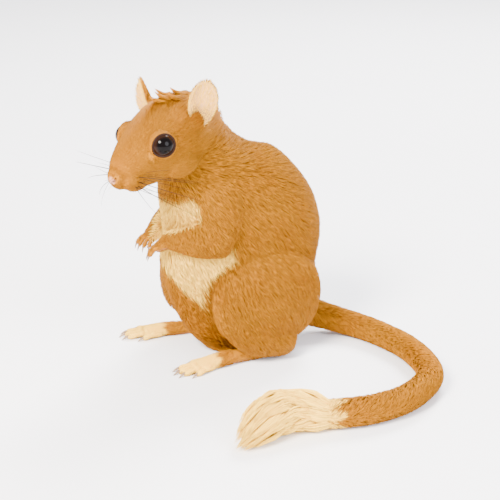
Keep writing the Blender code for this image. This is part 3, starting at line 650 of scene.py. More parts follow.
def digits(limb):
    """The rows, claw root and claw heading of each finger or toe of one limb."""
    if limb == "forepaw":
        table, (length, radius, arch), end, height = FINGERS, FINGER, PALM[-1], PALM[-1][2]
        back, lift = 0.3, 0.0
    else:
        table, (length, radius, arch), end, height = TOES, TOE, SOLE[-1], TOE[1] - FLAT_DEPTH + 0.35
        back, lift = 0.0, 0.25
    found = []
    for place, spread, share, set_back in table:
        root = (place, end[1] + set_back + back, height)
        rows, tip, heading = digit(root, math.radians(spread), length * share, radius, arch)
        found.append((rows, tip + Vector((0, 0, lift)), heading))
    return found


def limb_space(side, limb):
    return paw_space(side) if limb == "forepaw" else foot_space(side)


def claw_rows(root, heading, length, radius, down):
    forward = (heading + Vector((0, 0, -down))).normalized()
    rows = []
    for share, size in CLAW_SHAPE:
        place = root + forward * length * share + Vector((0, 0, -length * CLAW_HOOK * max(share, 0) ** 2))
        rows.append((*place, radius * size))
    return rows


def tuft_spine():
    """Centre, heading, across and half width at shares of the tuft's length."""
    rows = spline(tail_rows(), TAIL_STEPS)[TUFT_START * TAIL_STEPS - TAIL_STEPS :]
    steps = np.linalg.norm(np.diff(rows[:, :2], axis=0), axis=1)
    run = np.concatenate([[0], np.cumsum(steps)])
    run -= run[TAIL_STEPS]
    headings = unit(np.gradient(rows[:, :3], axis=0))
    shares, widths = np.array(TUFT_SPREAD).T

    def at(share):
        place = share * TUFT_LENGTH
        x, y = (np.interp(place, run, rows[:, axis]) for axis in (0, 1))
        heading = unit(np.array([np.interp(place, run, headings[:, axis]) for axis in (0, 1, 2)]))
        spread = float(np.interp(share, shares, widths))
        across = unit(np.array((-heading[1], heading[0], 0)))
        return np.array((x, y, spread - FLAT_DEPTH)), heading, across, spread

    return at


def core_tube():
    """The flesh of the tail inside the tuft, which thins out to half way along it."""
    spine = tuft_spine()
    rows = []
    for share in np.linspace(-0.1, CORE_REACH, 9):
        centre, _, _, _ = spine(share)
        radius = np.interp(share, *CORE_RADII)
        rows.append((*centre, radius))
    return rod(rows, Matrix.Identity(4), around=24, steps=2)


def head_masses():
    masses = []
    for (out, forward, up), radii in (WHISKER_PAD, CHEEK, CHIN, NOSE_TIP):
        for sign in (1, -1) if out else (1,):
            masses.append(ball((sign * out, -forward, up), radii, head_space))
    for side in SIGNS:
        centre, _ = eye_of(side)
        masses.append(ball(centre, (EYE_RADIUS + LID_FLESH,) * 3))
    return masses


def eye_of(side):
    sign = SIGNS[side]
    out, forward, up = EYE_PLACE
    axis = toward_head(sign * EYE_AXIS[0], EYE_AXIS[1], EYE_AXIS[2])
    return on_head(sign * out, forward, up), axis


def flesh_masses():
    masses = [flesh_tube(part, 40) for part in parts] + [core_tube()] + head_masses()
    for side in SIGNS:
        for limb in ("forepaw", "hind_foot"):
            for rows, _, _ in digits(limb):
                thin = [(*row[:3], row[3] - DIGIT_COAT) for row in rows]
                masses.append(rod(thin, limb_space(side, limb)))
    return masses


# The skin


def survey(points):
    """For each point its part, share along and angle round it, and its coat's depth, length and width."""
    far, share, angle = (np.array(found) for found in zip(*(part.nearest(points) for part in parts)))
    owner = far.argmin(axis=0)
    pick = (owner, np.arange(len(points)))
    pull = np.exp((far.min(axis=0) - far) / BLEND)
    pull /= pull.sum(axis=0)
    coat = sum(pull[k] * np.array(part.coat_at(np.clip(share[k], 0, 1))) for k, part in enumerate(parts))
    return owner, share[pick], angle[pick], coat


def owned(owner, start):
    return np.isin(owner, [k for k, part in enumerate(parts) if part.name.startswith(start)])


def around_eye(points, side):
    """How far each point is from the eye's middle, and how far its angle is outside the lids' opening."""
    centre, axis = eye_of(side)
    gaps = points - np.array(centre)
    reach = np.linalg.norm(gaps, axis=1)
    ahead = toward_head(0, 1, -0.25)
    ahead = np.array((ahead - axis * ahead.dot(axis)).normalized())
    above = np.cross(ahead, np.array(axis)) * -SIGNS[side]
    tilt = np.arccos(np.clip(gaps @ np.array(axis) / reach, -1, 1))
    turn = np.arctan2(gaps @ above, gaps @ ahead)
    long, tall = LID_OPENING
    opening = 1 / np.sqrt((np.cos(turn) / long) ** 2 + (np.sin(turn) / tall) ** 2)
    opening += LID_CORNER * np.exp(-((turn / 0.4) ** 2))
    return reach, np.degrees(tilt - opening)


def shape_lids(points, side):
    """Draws the skin over the eye into a thin rim of lid, and sinks what lies inside the opening."""
    reach, outside = around_eye(points, side)
    rim = EYE_RADIUS + LID_PROUD * smooth_step(outside, -3, 3) - 0.12 * np.exp(-(((outside - 15) / 4) ** 2))
    edge = (LID_PROUD * 0.5 + LID_SUNK) * smooth_step(outside, -4, 0)
    wanted = np.where(outside < 0, EYE_RADIUS - LID_SUNK + edge, rim)
    wanted = np.maximum(wanted, EYE_RADIUS - LID_SUNK)
    weight = (1 - smooth_step(outside, 10, 30)) * (reach < EYE_RADIUS + 2.2)
    centre = np.array(eye_of(side)[0])
    return centre + (points - centre) * (1 + weight * (wanted / reach - 1))[:, None]


def to_line(points, line):
    """How far each point is from a line of points."""
    line = np.array(line, float)
    nearest = np.full(len(points), 1e9)
    for start, stop in zip(line, line[1:]):
        span = stop - start
        share = np.clip((points - start) @ span / (span @ span), 0, 1)
        nearest = np.minimum(nearest, np.linalg.norm(points - start - share[:, None] * span, axis=1))
    return nearest


def cast(tree, starts, aims):
    return [tree.ray_cast(start, aim)[0] for start, aim in zip(starts, aims)]


def face_lines(tree):
    """Lines on the skin of the muzzle: the mouth, the cleft above it and each nostril."""
    starts, aims = [], []
    for share in np.linspace(-1, 1, 15):
        sweep = share * MOUTH_SWEEP
        aim = toward_head(-math.sin(sweep), -math.cos(sweep) * 0.85, 0.42 - 0.30 * abs(share))
        middle = on_head(MOUTH_MIDDLE[0], MOUTH_MIDDLE[1], MOUTH_MIDDLE[2] + 0.5 * abs(share))
        starts.append(middle - aim * 20)
        aims.append(aim)
    lines = {"mouth": cast(tree, starts, aims)}
    inward = toward_head(0, -1, 0)
    lines["cleft"] = cast(tree, [on_head(0, 50, up) for up in CLEFT_HEIGHTS], [inward] * len(CLEFT_HEIGHTS))
    for side, sign in SIGNS.items():
        starts = [on_head(sign * out, 50, up) for out, up in NOSTRIL_LINE]
        lines[f"nostril_{side}"] = cast(tree, starts, [inward] * len(starts))
    return lines


def refine(piece, chosen):
    """Splits the faces whose corners are all chosen into four."""
    mesh = bmesh.new()
    mesh.from_mesh(piece.data)
    mesh.verts.ensure_lookup_table()
    picked = set(np.nonzero(chosen)[0].tolist())
    edges = [edge for edge in mesh.edges if edge.verts[0].index in picked and edge.verts[1].index in picked]
    bmesh.ops.subdivide_edges(mesh, edges=edges, cuts=1, use_grid_fill=True)
    mesh.to_mesh(piece.data)
    mesh.free()


def soften(piece, passes, weights=None):
    smooth = piece.modifiers.new("soften", "SMOOTH")
    smooth.factor = 0.5
    smooth.iterations = passes
    if weights is not None:
        smooth.vertex_group = weigh(piece, f"soft_{passes}", weights)
    apply_modifiers(piece)


def in_head(points):
    """Points in the head's own space, as out, forward and up."""
    local = moved(points, head_space.inverted())
    return local * np.array((1, -1, 1))


def make_body_skin():
    """Fuses the flesh, softens its creases, shapes the face and thins what the coat hides."""
    skin = to_object("skin", joined(flesh_masses()))
    remesh(skin, SKIN_GRAIN)
    soften(skin, 3)
    owner, share, _, _ = survey(points_of(skin.data))
    soft = np.ones(len(owner))
    soft[owned(owner, "head") & (share > 0.2)] = 0.35
    soft[owned(owner, "head") & (share > 0.8)] = 0.1
    soft[owned(owner, "forepaw") | owned(owner, "hind_foot")] = 0
    soften(skin, 28, soft)
    points = points_of(skin.data)
    fine = in_head(points)[:, 1] > MUZZLE_START
    for side in SIGNS:
        reach, outside = around_eye(points, side)
        fine |= (reach < EYE_RADIUS + 2) & (outside < 26)
    refine(skin, fine)
    points = points_of(skin.data)
    for side in SIGNS:
        points = shape_lids(points, side)
    put_points(skin.data, points)
    normals = normals_of(skin.data)
    lines = face_lines(BVHTree.FromPolygons(*polygons_of(skin.data)))
    depth = np.zeros(len(points))
    for name, line in lines.items():
        deep, wide, swell = GROOVES[name.split("_")[0]]
        far = to_line(points, line)
        depth += deep * np.exp(-((far / wide) ** 2)) - swell * np.exp(-(((far - 2.4 * wide) / wide) ** 2))
    put_points(skin.data, points - normals * depth[:, None])
    thin_body(skin)
    points = points_of(skin.data)
    sole = owned(survey(points)[0], "hind_foot")
    put_points(skin.data, held_up(points, np.where(sole, 0, PRESSED_COAT)))
    return skin, lines


def held_up(points, height):
    """The points with what would reach under this height pressed flat at it."""
    return np.column_stack([points[:, :2], np.maximum(points[:, 2], height)])


def polygons_of(mesh):
    return [vertex.co.copy() for vertex in mesh.vertices], [tuple(face.vertices) for face in mesh.polygons]


def thin_body(skin):
    points = points_of(skin.data)
    owner, share, _, _ = survey(points)
    keep = owned(owner, "forepaw") | owned(owner, "hind_foot") | (owned(owner, "head") & (share > 0.55))
    triangles = sum(len(face.vertices) - 2 for face in skin.data.polygons)
    thin = skin.modifiers.new("thin", "DECIMATE")
    thin.ratio = SKIN_TRIANGLES / triangles
    thin.use_collapse_triangulate = True
    thin.vertex_group = weigh(skin, "thin", np.where(keep, 0.0, 1.0))
    apply_modifiers(skin)


# The ears


def ear_space(side):
    sign = SIGNS[side]
    back, out, face = EAR_TURNS[side]
    turn = Matrix.Rotation(sign * out, 4, "Y") @ Matrix.Rotation(back, 4, "X")
    turn = turn @ Matrix.Rotation(sign * face, 4, "Z")
    place = Vector(EAR_PLACE[side]) * Vector((sign, -1, 1))
    return head_space @ Matrix.Translation(place) @ turn


def ear_point(s, v, sign):
    """A point of the cupped leaf: s runs across it from -1 to 1, and v up it from 0 to 1."""
    if v < EAR_WAIST:
        share = v / EAR_WAIST
        rise = 0.5 * share
        half = EAR_FOOT + (1 - EAR_FOOT) * math.sin(share * math.pi / 2)
    else:
        angle = (v - EAR_WAIST) / (1 - EAR_WAIST) * math.pi / 2
        rise = 0.5 + 0.5 * math.sin(angle)
        half = math.cos(angle)
    half *= EAR_WIDTH / 2
    curl = math.radians(EAR_CURL - EAR_UNCURL * rise)
    bend = half / curl
    height = EAR_HEIGHT * (1.24 * rise - 0.24)
    dish = -bend * (1 - math.cos(curl * s)) + 1.6 * rise**2
    # The rim rolls in a little, a fold runs up the cup, and a lobe curls in at its lower front
    dish -= 0.55 * max(0.0, abs(s) - 0.8) / 0.2 * math.sin(math.pi * min(1, v + 0.1))
    dish -= 0.75 * math.exp(-(((s * sign - 0.25) / 0.16) ** 2) - ((v - 0.42) / 0.2) ** 2)
    dish -= 1.3 * math.exp(-(((s * sign + 0.72) / 0.22) ** 2) - ((v - 0.3) / 0.12) ** 2)
    return Vector((bend * math.sin(curl * s), dish, height))


def make_ear(side):
    mesh = bmesh.new()
    bmesh.ops.create_grid(mesh, x_segments=20, y_segments=24, size=1.0)
    for vertex in mesh.verts:
        vertex.co = ear_point(vertex.co.x, (vertex.co.y + 1) / 2, SIGNS[side])
    bmesh.ops.remove_doubles(mesh, verts=mesh.verts, dist=0.05)
    bmesh.ops.recalc_face_normals(mesh, faces=mesh.faces)
    bmesh.ops.transform(mesh, matrix=ear_space(side), verts=mesh.verts)
    ear = to_object(f"ear_{side}", mesh)
    thick = ear.modifiers.new("thick", "SOLIDIFY")
    thick.thickness = EAR_THICK
    thick.offset = 0.0
    round_edge = ear.modifiers.new("round", "SUBSURF")
    round_edge.levels = round_edge.render_levels = 1
    flat = ear.modifiers.new("flat", "TRIANGULATE")
    flat.min_vertices = 4
    apply_modifiers(ear)
    return ear


# Markings, the same on skin and hair


def zigzag(angle, teeth, depth):
    return depth * np.abs((angle * teeth / math.pi) % 2 - 1)


def markings(points, normals, owner, share, angle):
    """How cream the coat is at each point, from 0, golden, to 1."""
    x, y, z = points.T
    pale = np.zeros(len(points))
    rows = np.array(TORSO)
    front = np.degrees(np.arctan2(np.abs(x), np.interp(z, rows[:, 2], rows[:, 1]) - y))
    limit = np.interp(z, BELLY_HEIGHTS, BELLY_ANGLES)
    belly = 1 - smooth_step(front - limit, -4, 4)
    below_bib = 1 - smooth_step((points - np.array(BIB_TOP)) @ unit(np.array(BIB_AXIS)), -0.7, 0.7)
    above_thigh = smooth_step((points - np.array(THIGH_TOP)) @ unit(np.array(THIGH_AXIS)), -0.7, 0.7)
    torso = owned(owner, "torso")
    pale[torso] = (belly * below_bib * above_thigh)[torso]
    arm = owned(owner, "forearm") | owned(owner, "upper_arm")
    inner = smooth_step(-np.sign(x) * normals[:, 0], 0.6, 0.85) * (1 - smooth_step(normals[:, 2], -0.2, 0.1))
    pale[arm] = inner[arm]
    for side in SIGNS:
        limb = owned(owner, f"hind_foot_{side}") | owned(owner, f"shank_{side}")
        forward = -moved(points, foot_space(side).inverted())[:, 1]
        cuff = forward - ANKLE - zigzag(angle, 5, 2.2) + 1.1
        pale[limb] = smooth_step(cuff, -0.5, 0.5)[limb]
    tail = owned(owner, "tail")
    run = parts[[part.name for part in parts].index("tail")].length
    pale[tail] = smooth_step((share - 1) * run + zigzag(angle, 5, 5.5) - 0.6, -0.5, 0.5)[tail]
    return pale


def skin_values(points, normals, lines, owner):
    """Bare pink skin, and dark skin at each point, from 0 to 1: real dark lid rims, and painted shade along
    the mouth line, the cleft and the nostrils.
    """
    bare, dark = np.zeros(len(points)), np.zeros(len(points))
    nose = np.array(on_head(0, 39.4, -2.6))
    bare = np.maximum(bare, 1 - smooth_step(np.linalg.norm(points - nose, axis=1), 1.0, 1.9))
    # Painted shade: the mouth line, the cleft and the nostrils are darkened where they crease in
    for name, line in lines.items():
        far = to_line(points, line)
        dark = np.maximum(dark, LINE_SHADE[name.split("_")[0]] * (1 - smooth_step(far, 0.15, 0.5)))
    for side in SIGNS:
        reach, outside = around_eye(points, side)
        near = reach < EYE_RADIUS + 1.5
        dark = np.maximum(dark, near * (1 - smooth_step(outside, 3, 9)))
    under = smooth_step(-normals[:, 2], 0.3, 0.8) * (owned(owner, "hind_foot") | owned(owner, "forepaw"))
    bare = np.maximum(bare, 0.7 * under)
    return bare, dark


# The lie of the coat


def edges_of(mesh):
    ends = np.empty(len(mesh.edges) * 2, np.int32)
    mesh.edges.foreach_get("vertices", ends)
    return ends.reshape(-1, 2)


def averaged(vectors, ends, passes):
    """Unit vectors on a mesh, each drawn towards its neighbours'."""
    for _ in range(passes):
        total = vectors.copy()
        for axis in range(3):
            for here, there in ((0, 1), (1, 0)):
                total[:, axis] += np.bincount(ends[:, here], vectors[ends[:, there], axis], len(vectors))
        vectors = unit(total)
    return vectors


def away_from_nose():
    """Points over a coarse copy of the body, and the way that leads away from the nose at each."""
    guide = to_object("flow_guide", joined(flesh_masses()))
    remesh(guide, FLOW_GRAIN)
    points, ends = points_of(guide.data), edges_of(guide.data)
    bpy.data.objects.remove(guide)
    lengths = np.linalg.norm(points[ends[:, 0]] - points[ends[:, 1]], axis=1)
    near = [[] for _ in points]
    for (a, b), length in zip(ends.tolist(), lengths.tolist()):
        near[a].append((b, length))
        near[b].append((a, length))
    start = int(np.linalg.norm(points - np.array(on_head(0, 40, -2)), axis=1).argmin())
    run = np.full(len(points), 1e9)
    run[start] = 0
    border = [(0.0, start)]
    while border:
        far, here = heapq.heappop(border)
        if far > run[here]:
            continue
        for there, length in near[here]:
            if far + length < run[there]:
                run[there] = far + length
                heapq.heappush(border, (far + length, there))
    slope = (run[ends[:, 1]] - run[ends[:, 0]]) / lengths
    way = (points[ends[:, 1]] - points[ends[:, 0]]) / lengths[:, None] * slope[:, None]
    total = np.zeros_like(points)
    for axis in range(3):
        for end in (0, 1):
            total[:, axis] += np.bincount(ends[:, end], way[:, axis], len(points))
    return points, averaged(unit(total), ends, 5)


def nearest_rows(points, among):
    tree = KDTree(len(among))
    for k, place in enumerate(among):
        tree.insert(place, k)
    tree.balance()
    return np.array([tree.find(place)[1] for place in points])


def coat_flow(points, normals, ends):
    """The way the hair lies at each point of the skin, along its surface."""
    guide, way = away_from_nose()
    flow = averaged(way[nearest_rows(points, guide)], ends, 12)
    for side in SIGNS:
        centre, axis = eye_of(side)
        _, outside = around_eye(points, side)
        gaps = points - np.array(centre)
        away = unit(gaps - (gaps @ np.array(axis))[:, None] * np.array(axis))
        near = (np.linalg.norm(gaps, axis=1) < EYE_RADIUS + 4) * np.exp(-((outside / 18) ** 2))
        flow += away * 1.6 * near[:, None]
    return unit(flow - (flow * normals).sum(axis=1)[:, None] * normals)


# Hairs, as solid three-sided spikes made from arrays


def hair_mesh(name, paths, ups, widths, pale, tone, places):
    """One mesh of many hairs. Each runs through its own path, is flattened against ups and has a
    width at each of its points, and is a small patch of the bake's map at its root's place."""
    count, rings = len(paths), paths.shape[1] - 1
    heading = unit(np.gradient(paths, axis=1))
    across = unit(np.cross(ups, heading))
    lift = np.cross(heading, across)
    wide = widths[:, :rings, None]
    corners = []
    for out, rise in ((-0.5, -0.2), (0.5, -0.2), (0.0, 0.4)):
        corners.append(paths[:, :rings] + across[:, :rings] * wide * out + lift[:, :rings] * wide * rise)
    body = np.stack(corners, axis=2).reshape(count, rings * 3, 3)
    points = np.concatenate([body, paths[:, -1:]], axis=1).reshape(-1, 3)
    each = rings * 3 + 1
    faces, spots = hair_faces(rings)
    sizes = np.array([len(face) for face in faces])
    pattern = np.concatenate(faces)
    loops = (pattern[None, :] + np.arange(count)[:, None] * each).ravel()
    data = bpy.data.meshes.new(name)
    data.vertices.add(len(points))
    data.vertices.foreach_set("co", points.astype(np.float32).ravel())
    data.loops.add(len(loops))
    data.loops.foreach_set("vertex_index", loops.astype(np.int32))
    data.polygons.add(count * len(faces))
    starts = np.concatenate([[0], np.cumsum(sizes)[:-1]])
    starts = (starts[None, :] + np.arange(count)[:, None] * len(pattern)).ravel()
    data.polygons.foreach_set("loop_start", starts.astype(np.int32))
    spread = data.uv_layers.new(name="OFBake")
    uv = places[:, None, :] + np.array(spots)[None, :, :] * PATCH
    spread.data.foreach_set("uv", uv.astype(np.float32).ravel())
    data.update(calc_edges=True)
    data.transform(TO_FRAME)
    data.shade_smooth()
    put_values(data, "cream", np.repeat(pale, each))
    # Only the bent hairs of the body, of two rings and a tip, are dark down to the root
    along = np.append(np.repeat(np.arange(rings) / rings, 3), 1.0)
    if rings != 2:
        along = PALE_FROM + (1 - PALE_FROM) * along
    put_values(data, "tip", np.tile(along, count))
    put_values(data, "tone", np.repeat(tone, each))
    piece = bpy.data.objects.new(name, data)
    bpy.context.scene.collection.objects.link(piece)
    return piece


def hair_faces(rings):
    """The corners of a hair's faces, and where each lies in its patch of the map."""
    faces, spots = [(0, 2, 1)], [(0.0, 0.0), (0.6, 0.0), (0.3, 0.15)]
    for ring in range(rings - 1):
        low, high = (ring + 0.2) / rings, (ring + 1.2) / rings
        for k in range(3):
            other = (k + 1) % 3
            faces.append((ring * 3 + k, ring * 3 + other, ring * 3 + 3 + other, ring * 3 + 3 + k))
            spots += [(k / 3, low), ((k + 1) / 3, low), ((k + 1) / 3, high), (k / 3, high)]
    last = (rings - 1) * 3
    for k in range(3):
        faces.append((last + k, last + (k + 1) % 3, last + 3))
        spots += [(k / 3, (rings - 0.8) / rings), ((k + 1) / 3, (rings - 0.8) / rings), ((k + 0.5) / 3, 1.0)]
    return faces, spots


def triangles_of(mesh):
    mesh.calc_loop_triangles()
    corners = np.empty(len(mesh.loop_triangles) * 3, np.int32)
    mesh.loop_triangles.foreach_get("vertices", corners)
    return corners.reshape(-1, 3)


def scatter(points, triangles, density, count, chance):
    """Picks places over the skin, as a triangle and three shares of its corners for each."""
    a, b, c = (points[triangles[:, k]] for k in range(3))
    area = np.linalg.norm(np.cross(b - a, c - a), axis=1) / 2
    total = np.cumsum(area * density[triangles].mean(axis=1))
    steps = (np.arange(count) + chance.random(count)) / count * total[-1]
    pick = np.searchsorted(total, steps).clip(0, len(triangles) - 1)
    first, second = np.sqrt(chance.random(count)), chance.random(count)
    return pick, np.column_stack([1 - first, first * (1 - second), first * second])


def blended(values, triangles, pick, shares):
    corners = values[triangles[pick]]
    shares = shares.reshape(shares.shape + (1,) * (corners.ndim - 2))
    return (corners * shares).sum(axis=1)


def onto_skin(tree, places, flow, triangles):
    """The nearest points of the skin, its normals and the lie of the coat there."""
    hits = [tree.find_nearest(place) for place in places]
    points = np.array([hit[0] for hit in hits])
    normals = np.array([hit[1] for hit in hits])
    way = flow[triangles[[hit[2] for hit in hits]]].mean(axis=1)
    return points, normals, unit(way)


def turned(vectors, axes, angles):
    return vectors * np.cos(angles)[:, None] + np.cross(axes, vectors) * np.sin(angles)[:, None]


def drawn_together(roots, mids, tips, lengths):
    """Draws hairs towards a few leaders among them, so that they lie in small clumps."""
    leaders = np.arange(0, len(roots), CLUMP_SIZE)
    pull = leaders[nearest_rows(roots, roots[leaders])]
    far = np.linalg.norm(roots[pull] - roots, axis=1)
    near = np.exp(-((far / (CLUMP_REACH * lengths)) ** 2))[:, None]
    mids += BEND_PULL * near * (mids[pull] - mids)
    tips += TIP_PULL * near * (tips[pull] - tips)


def body_coat(points, normals, flow, triangles, density, coat, chance):
    """Roots, paths, ups and widths of the hairs over the body."""
    pick, shares = scatter(points, triangles, density, COAT_HAIRS, chance)
    roots, ups, way, coat = (blended(v, triangles, pick, shares) for v in (points, normals, flow, coat.T))
    ups, way = unit(ups), unit(way)
    depth, length, width = coat.T
    count = len(roots)
    guard = chance.random(count) < GUARD_SHARE
    length = length * chance.uniform(*HAIR_LENGTHS, count) * np.where(guard, GUARD_LENGTH, 1.0)
    way = turned(way, ups, chance.normal(0, WANDER, count))
    tree = BVHTree.FromPolygons(points.tolist(), triangles.tolist())
    mids, mid_ups, mid_way = onto_skin(tree, roots + way * (HAIR_BEND * length)[:, None], flow, triangles)
    onward = unit(mid_way + way * 0.7)
    reach = onward * ((1 - HAIR_BEND) * length)[:, None]
    tips, tip_ups, _ = onto_skin(tree, mids + reach, flow, triangles)
    mids = mids + mid_ups * (depth * chance.uniform(*BEND_HEIGHTS, count))[:, None]
    tips = tips + tip_ups * (depth * (chance.uniform(*TIP_HEIGHTS, count) + GUARD_RISE * guard))[:, None]
    drawn_together(roots, mids, tips, length)
    paths = np.stack([roots - ups * SUNK, mids, tips], axis=1)
    paths[:, :, 2] = np.maximum(paths[:, :, 2], FLOOR_GAP)
    widths = np.column_stack([width * 0.85, width, width * 0])
    return roots, paths, np.stack([ups, mid_ups, tip_ups], axis=1), widths


def grow_body_coat(points, normals, flow, triangles, density, coat, chance):
    """The short coat, in pieces by the part of the body that it grows on."""
    roots, paths, ups, widths = body_coat(points, normals, flow, triangles, density, coat, chance)
    owner, share, angle, _ = survey(roots)
    strayed = paths[:, 1] + chance.normal(0, STRAY, roots.shape)
    pale = markings(strayed, ups[:, 1], *survey(strayed)[:3])
    tone = np.clip(chance.normal(1, 0.10, len(roots)), 0.72, 1.25)
    names = np.array([COAT_PIECES[part.name.removesuffix("_left").removesuffix("_right")] for part in parts])
    pieces = []
    for group in sorted(set(names)):
        cells = np.nonzero(names == group)[0]
        used = [0, 2] if group in STRAIGHT_COATS else [0, 1, 2]
        most = PIECE_TRIANGLES // (6 * len(used) - 8)  # a hair of three points has ten triangles
        for side, sign in SIGNS.items():
            mine = np.nonzero((names[owner] == group) & (np.sign(roots[:, 0] + 1e-9) == sign))[0]
            mine = mine[np.argsort(share[mine], kind="stable")]
            for k, some in enumerate(np.array_split(mine, math.ceil(len(mine) / most))):
                cell = np.searchsorted(cells, owner[some])
                along = (cell + np.clip(share[some] + 0.2, 0, 1.4) / 1.4) / len(cells)
                places = np.column_stack([(angle[some] / (2 * math.pi) + 0.5), along]) * (1 - PATCH)
                name = f"coat_{group}_{side}_{k + 1}"
                shape = [column[some][:, used] for column in (paths, ups, widths)]
                pieces.append(hair_mesh(name, *shape, pale[some], tone[some], places))
    return pieces


def inside_ear(side, ear):
    """How far each point of an ear faces into its cup, from 0 to 1, and its height up the ear."""
    space = ear_space(side)
    opening = np.array(space.to_3x3() @ Vector((0, -1, 0)))
    inside = smooth_step(normals_of(ear.data) @ opening, -0.1, 0.3)
    return inside, moved(points_of(ear.data), space.inverted())[:, 2]


def ear_coat(side, ear, chance):
    """Short hairs up both faces of an ear, sparser in its cup, with a fringe past its rim."""
    points, normals, triangles = points_of(ear.data), normals_of(ear.data), triangles_of(ear.data)
    space = ear_space(side)
    tall = np.array(space.to_3x3() @ Vector((0, 0, 1)))
    inside, height = inside_ear(side, ear)
    density = np.where(height > 0.5, 1 - 0.6 * inside, 0.3)
    pick, shares = scatter(points, triangles, density, EAR_HAIRS, chance)
    roots, ups = blended(points, triangles, pick, shares), unit(blended(normals, triangles, pick, shares))
    inner = blended(inside, triangles, pick, shares)
    middle = np.array(space @ Vector((0, 0, EAR_HEIGHT * 0.25)))
    way = unit(roots - middle) * 0.6 + tall
    way = unit(way - (way * ups).sum(axis=1)[:, None] * ups)
    way = turned(way, ups, chance.normal(0, 0.2, len(roots)))
    length = chance.uniform(*EAR_HAIR_LENGTHS, len(roots))
    mids = roots + way * (0.5 * length)[:, None] + ups * EAR_BEND_HEIGHT
    tips = roots + way * length[:, None] + ups * chance.uniform(*EAR_TIP_HEIGHTS, len(roots))[:, None]
    paths = np.stack([roots - ups * 0.1, mids, tips], axis=1)
    widths = np.outer(chance.uniform(*EAR_HAIR_WIDTHS, len(roots)), (0.8, 1.0, 0.0))
    local = moved(roots, space.inverted())
    aside = local[:, 0] / EAR_WIDTH / 2.2 + 0.25 + 0.5 * (inner > 0.5)
    places = np.column_stack([aside, local[:, 2] / 16 + 0.3])
    tone = np.clip(chance.normal(1, 0.08, len(roots)), 0.8, 1.2)
    ups = np.repeat(ups[:, None, :], 3, axis=1)
    return hair_mesh(f"coat_ear_{side}", paths, ups, widths, inner, tone, places)


def lock_hairs(centres, sides, outs, width, thick, shape, count, chance):
    """Hairs that start across the root of one lock and draw together to its tip."""
    shares = np.linspace(0, 1, len(centres))
    spread = np.interp(shares, *shape)
    turn, far = chance.uniform(0, 2 * math.pi, count), np.sqrt(chance.random(count))
    wide = (np.cos(turn) * far * width / 2)[:, None] * spread
    deep = (np.sin(turn) * far * thick / 2)[:, None] * spread
    full = centres[None] + sides[None] * wide[:, :, None] + outs[None] * deep[:, :, None]
    full[:, 1:] += chance.normal(0, 0.09, (count, len(centres) - 1, 3))
    reach = chance.uniform(0.74, 1.0, count)
    places = np.linspace(0, 1, LOCK_POINTS)[None] * reach[:, None] * (len(centres) - 1)
    low = np.minimum(places.astype(int), len(centres) - 2)
    part = (places - low)[:, :, None]
    rows = np.arange(count)[:, None]
    return full[rows, low] * (1 - part) + full[rows, low + 1] * part


def brush(chance):
    """The long hair of the tail's tuft: tiers of locks that flare a little and end in split points."""
    spine = tuft_spine()
    paths, ups, places = [], [], []
    shares = np.linspace(0, 1, LOCK_ROWS)
    picked = np.round(np.linspace(0, LOCK_ROWS - 1, LOCK_POINTS)).astype(int)
    for tier, (start, reach, count, out) in enumerate(TUFT_TIERS):
        for k in range(count):
            angle = 2 * math.pi * (k + 0.5 * (tier % 2) + chance.uniform(-0.2, 0.2)) / count
            swirl, stand = chance.uniform(-0.3, 0.3), out * chance.uniform(0.9, 1.05)
            length = reach * chance.uniform(0.88, 1.02)
            width = TUFT_LOCK[0] * chance.uniform(0.8, 1.1)
            rows = []
            for share in shares:
                centre, heading, across, spread = spine(start + length * share)
                turn = angle + swirl * share
                radial = across * math.cos(turn) + np.array((0, 0, math.sin(turn)))
                off = spread * (LOCK_ROOT + (stand - LOCK_ROOT) * min(1, share / 0.5))
                rows.append((centre + radial * off, np.cross(heading, radial), radial))
            centres, sides, outs = (np.array(column) for column in zip(*rows))
            size = (width, TUFT_LOCK[1], TUFT_SHAPE, TUFT_HAIRS)
            hairs = lock_hairs(centres, unit(sides), outs, *size, chance)
            paths.append(hairs)
            ups.append(np.broadcast_to(unit(outs[picked]), hairs.shape))
            places += [(angle / (2 * math.pi) % 1, (tier + 0.2) / len(TUFT_TIERS))] * TUFT_HAIRS
    paths = np.concatenate(paths)
    paths[:, :, 2] = np.maximum(paths[:, :, 2], FLOOR_GAP)
    ups, places = np.concatenate(ups), np.array(places)
    return long_hairs("coat_tail_brush", paths, ups, places, TUFT_HAIR, 1.0, chance)


def long_hairs(name, paths, ups, places, width, pale, chance):
    """The hairs of one tuft, thickest a third of the way along."""
    count = len(paths)
    profile = np.interp(np.linspace(0, 1, LOCK_POINTS), (0, 0.3, 0.7, 1), (0.8, 1.0, 0.75, 0.1))
    widths = chance.uniform(0.75, 1.15, count)[:, None] * profile * width
    tone = np.clip(chance.normal(1, 0.08, count), 0.75, 1.2)
    return hair_mesh(name, paths, ups, widths, np.full(count, pale), tone, places * (1 - PATCH))


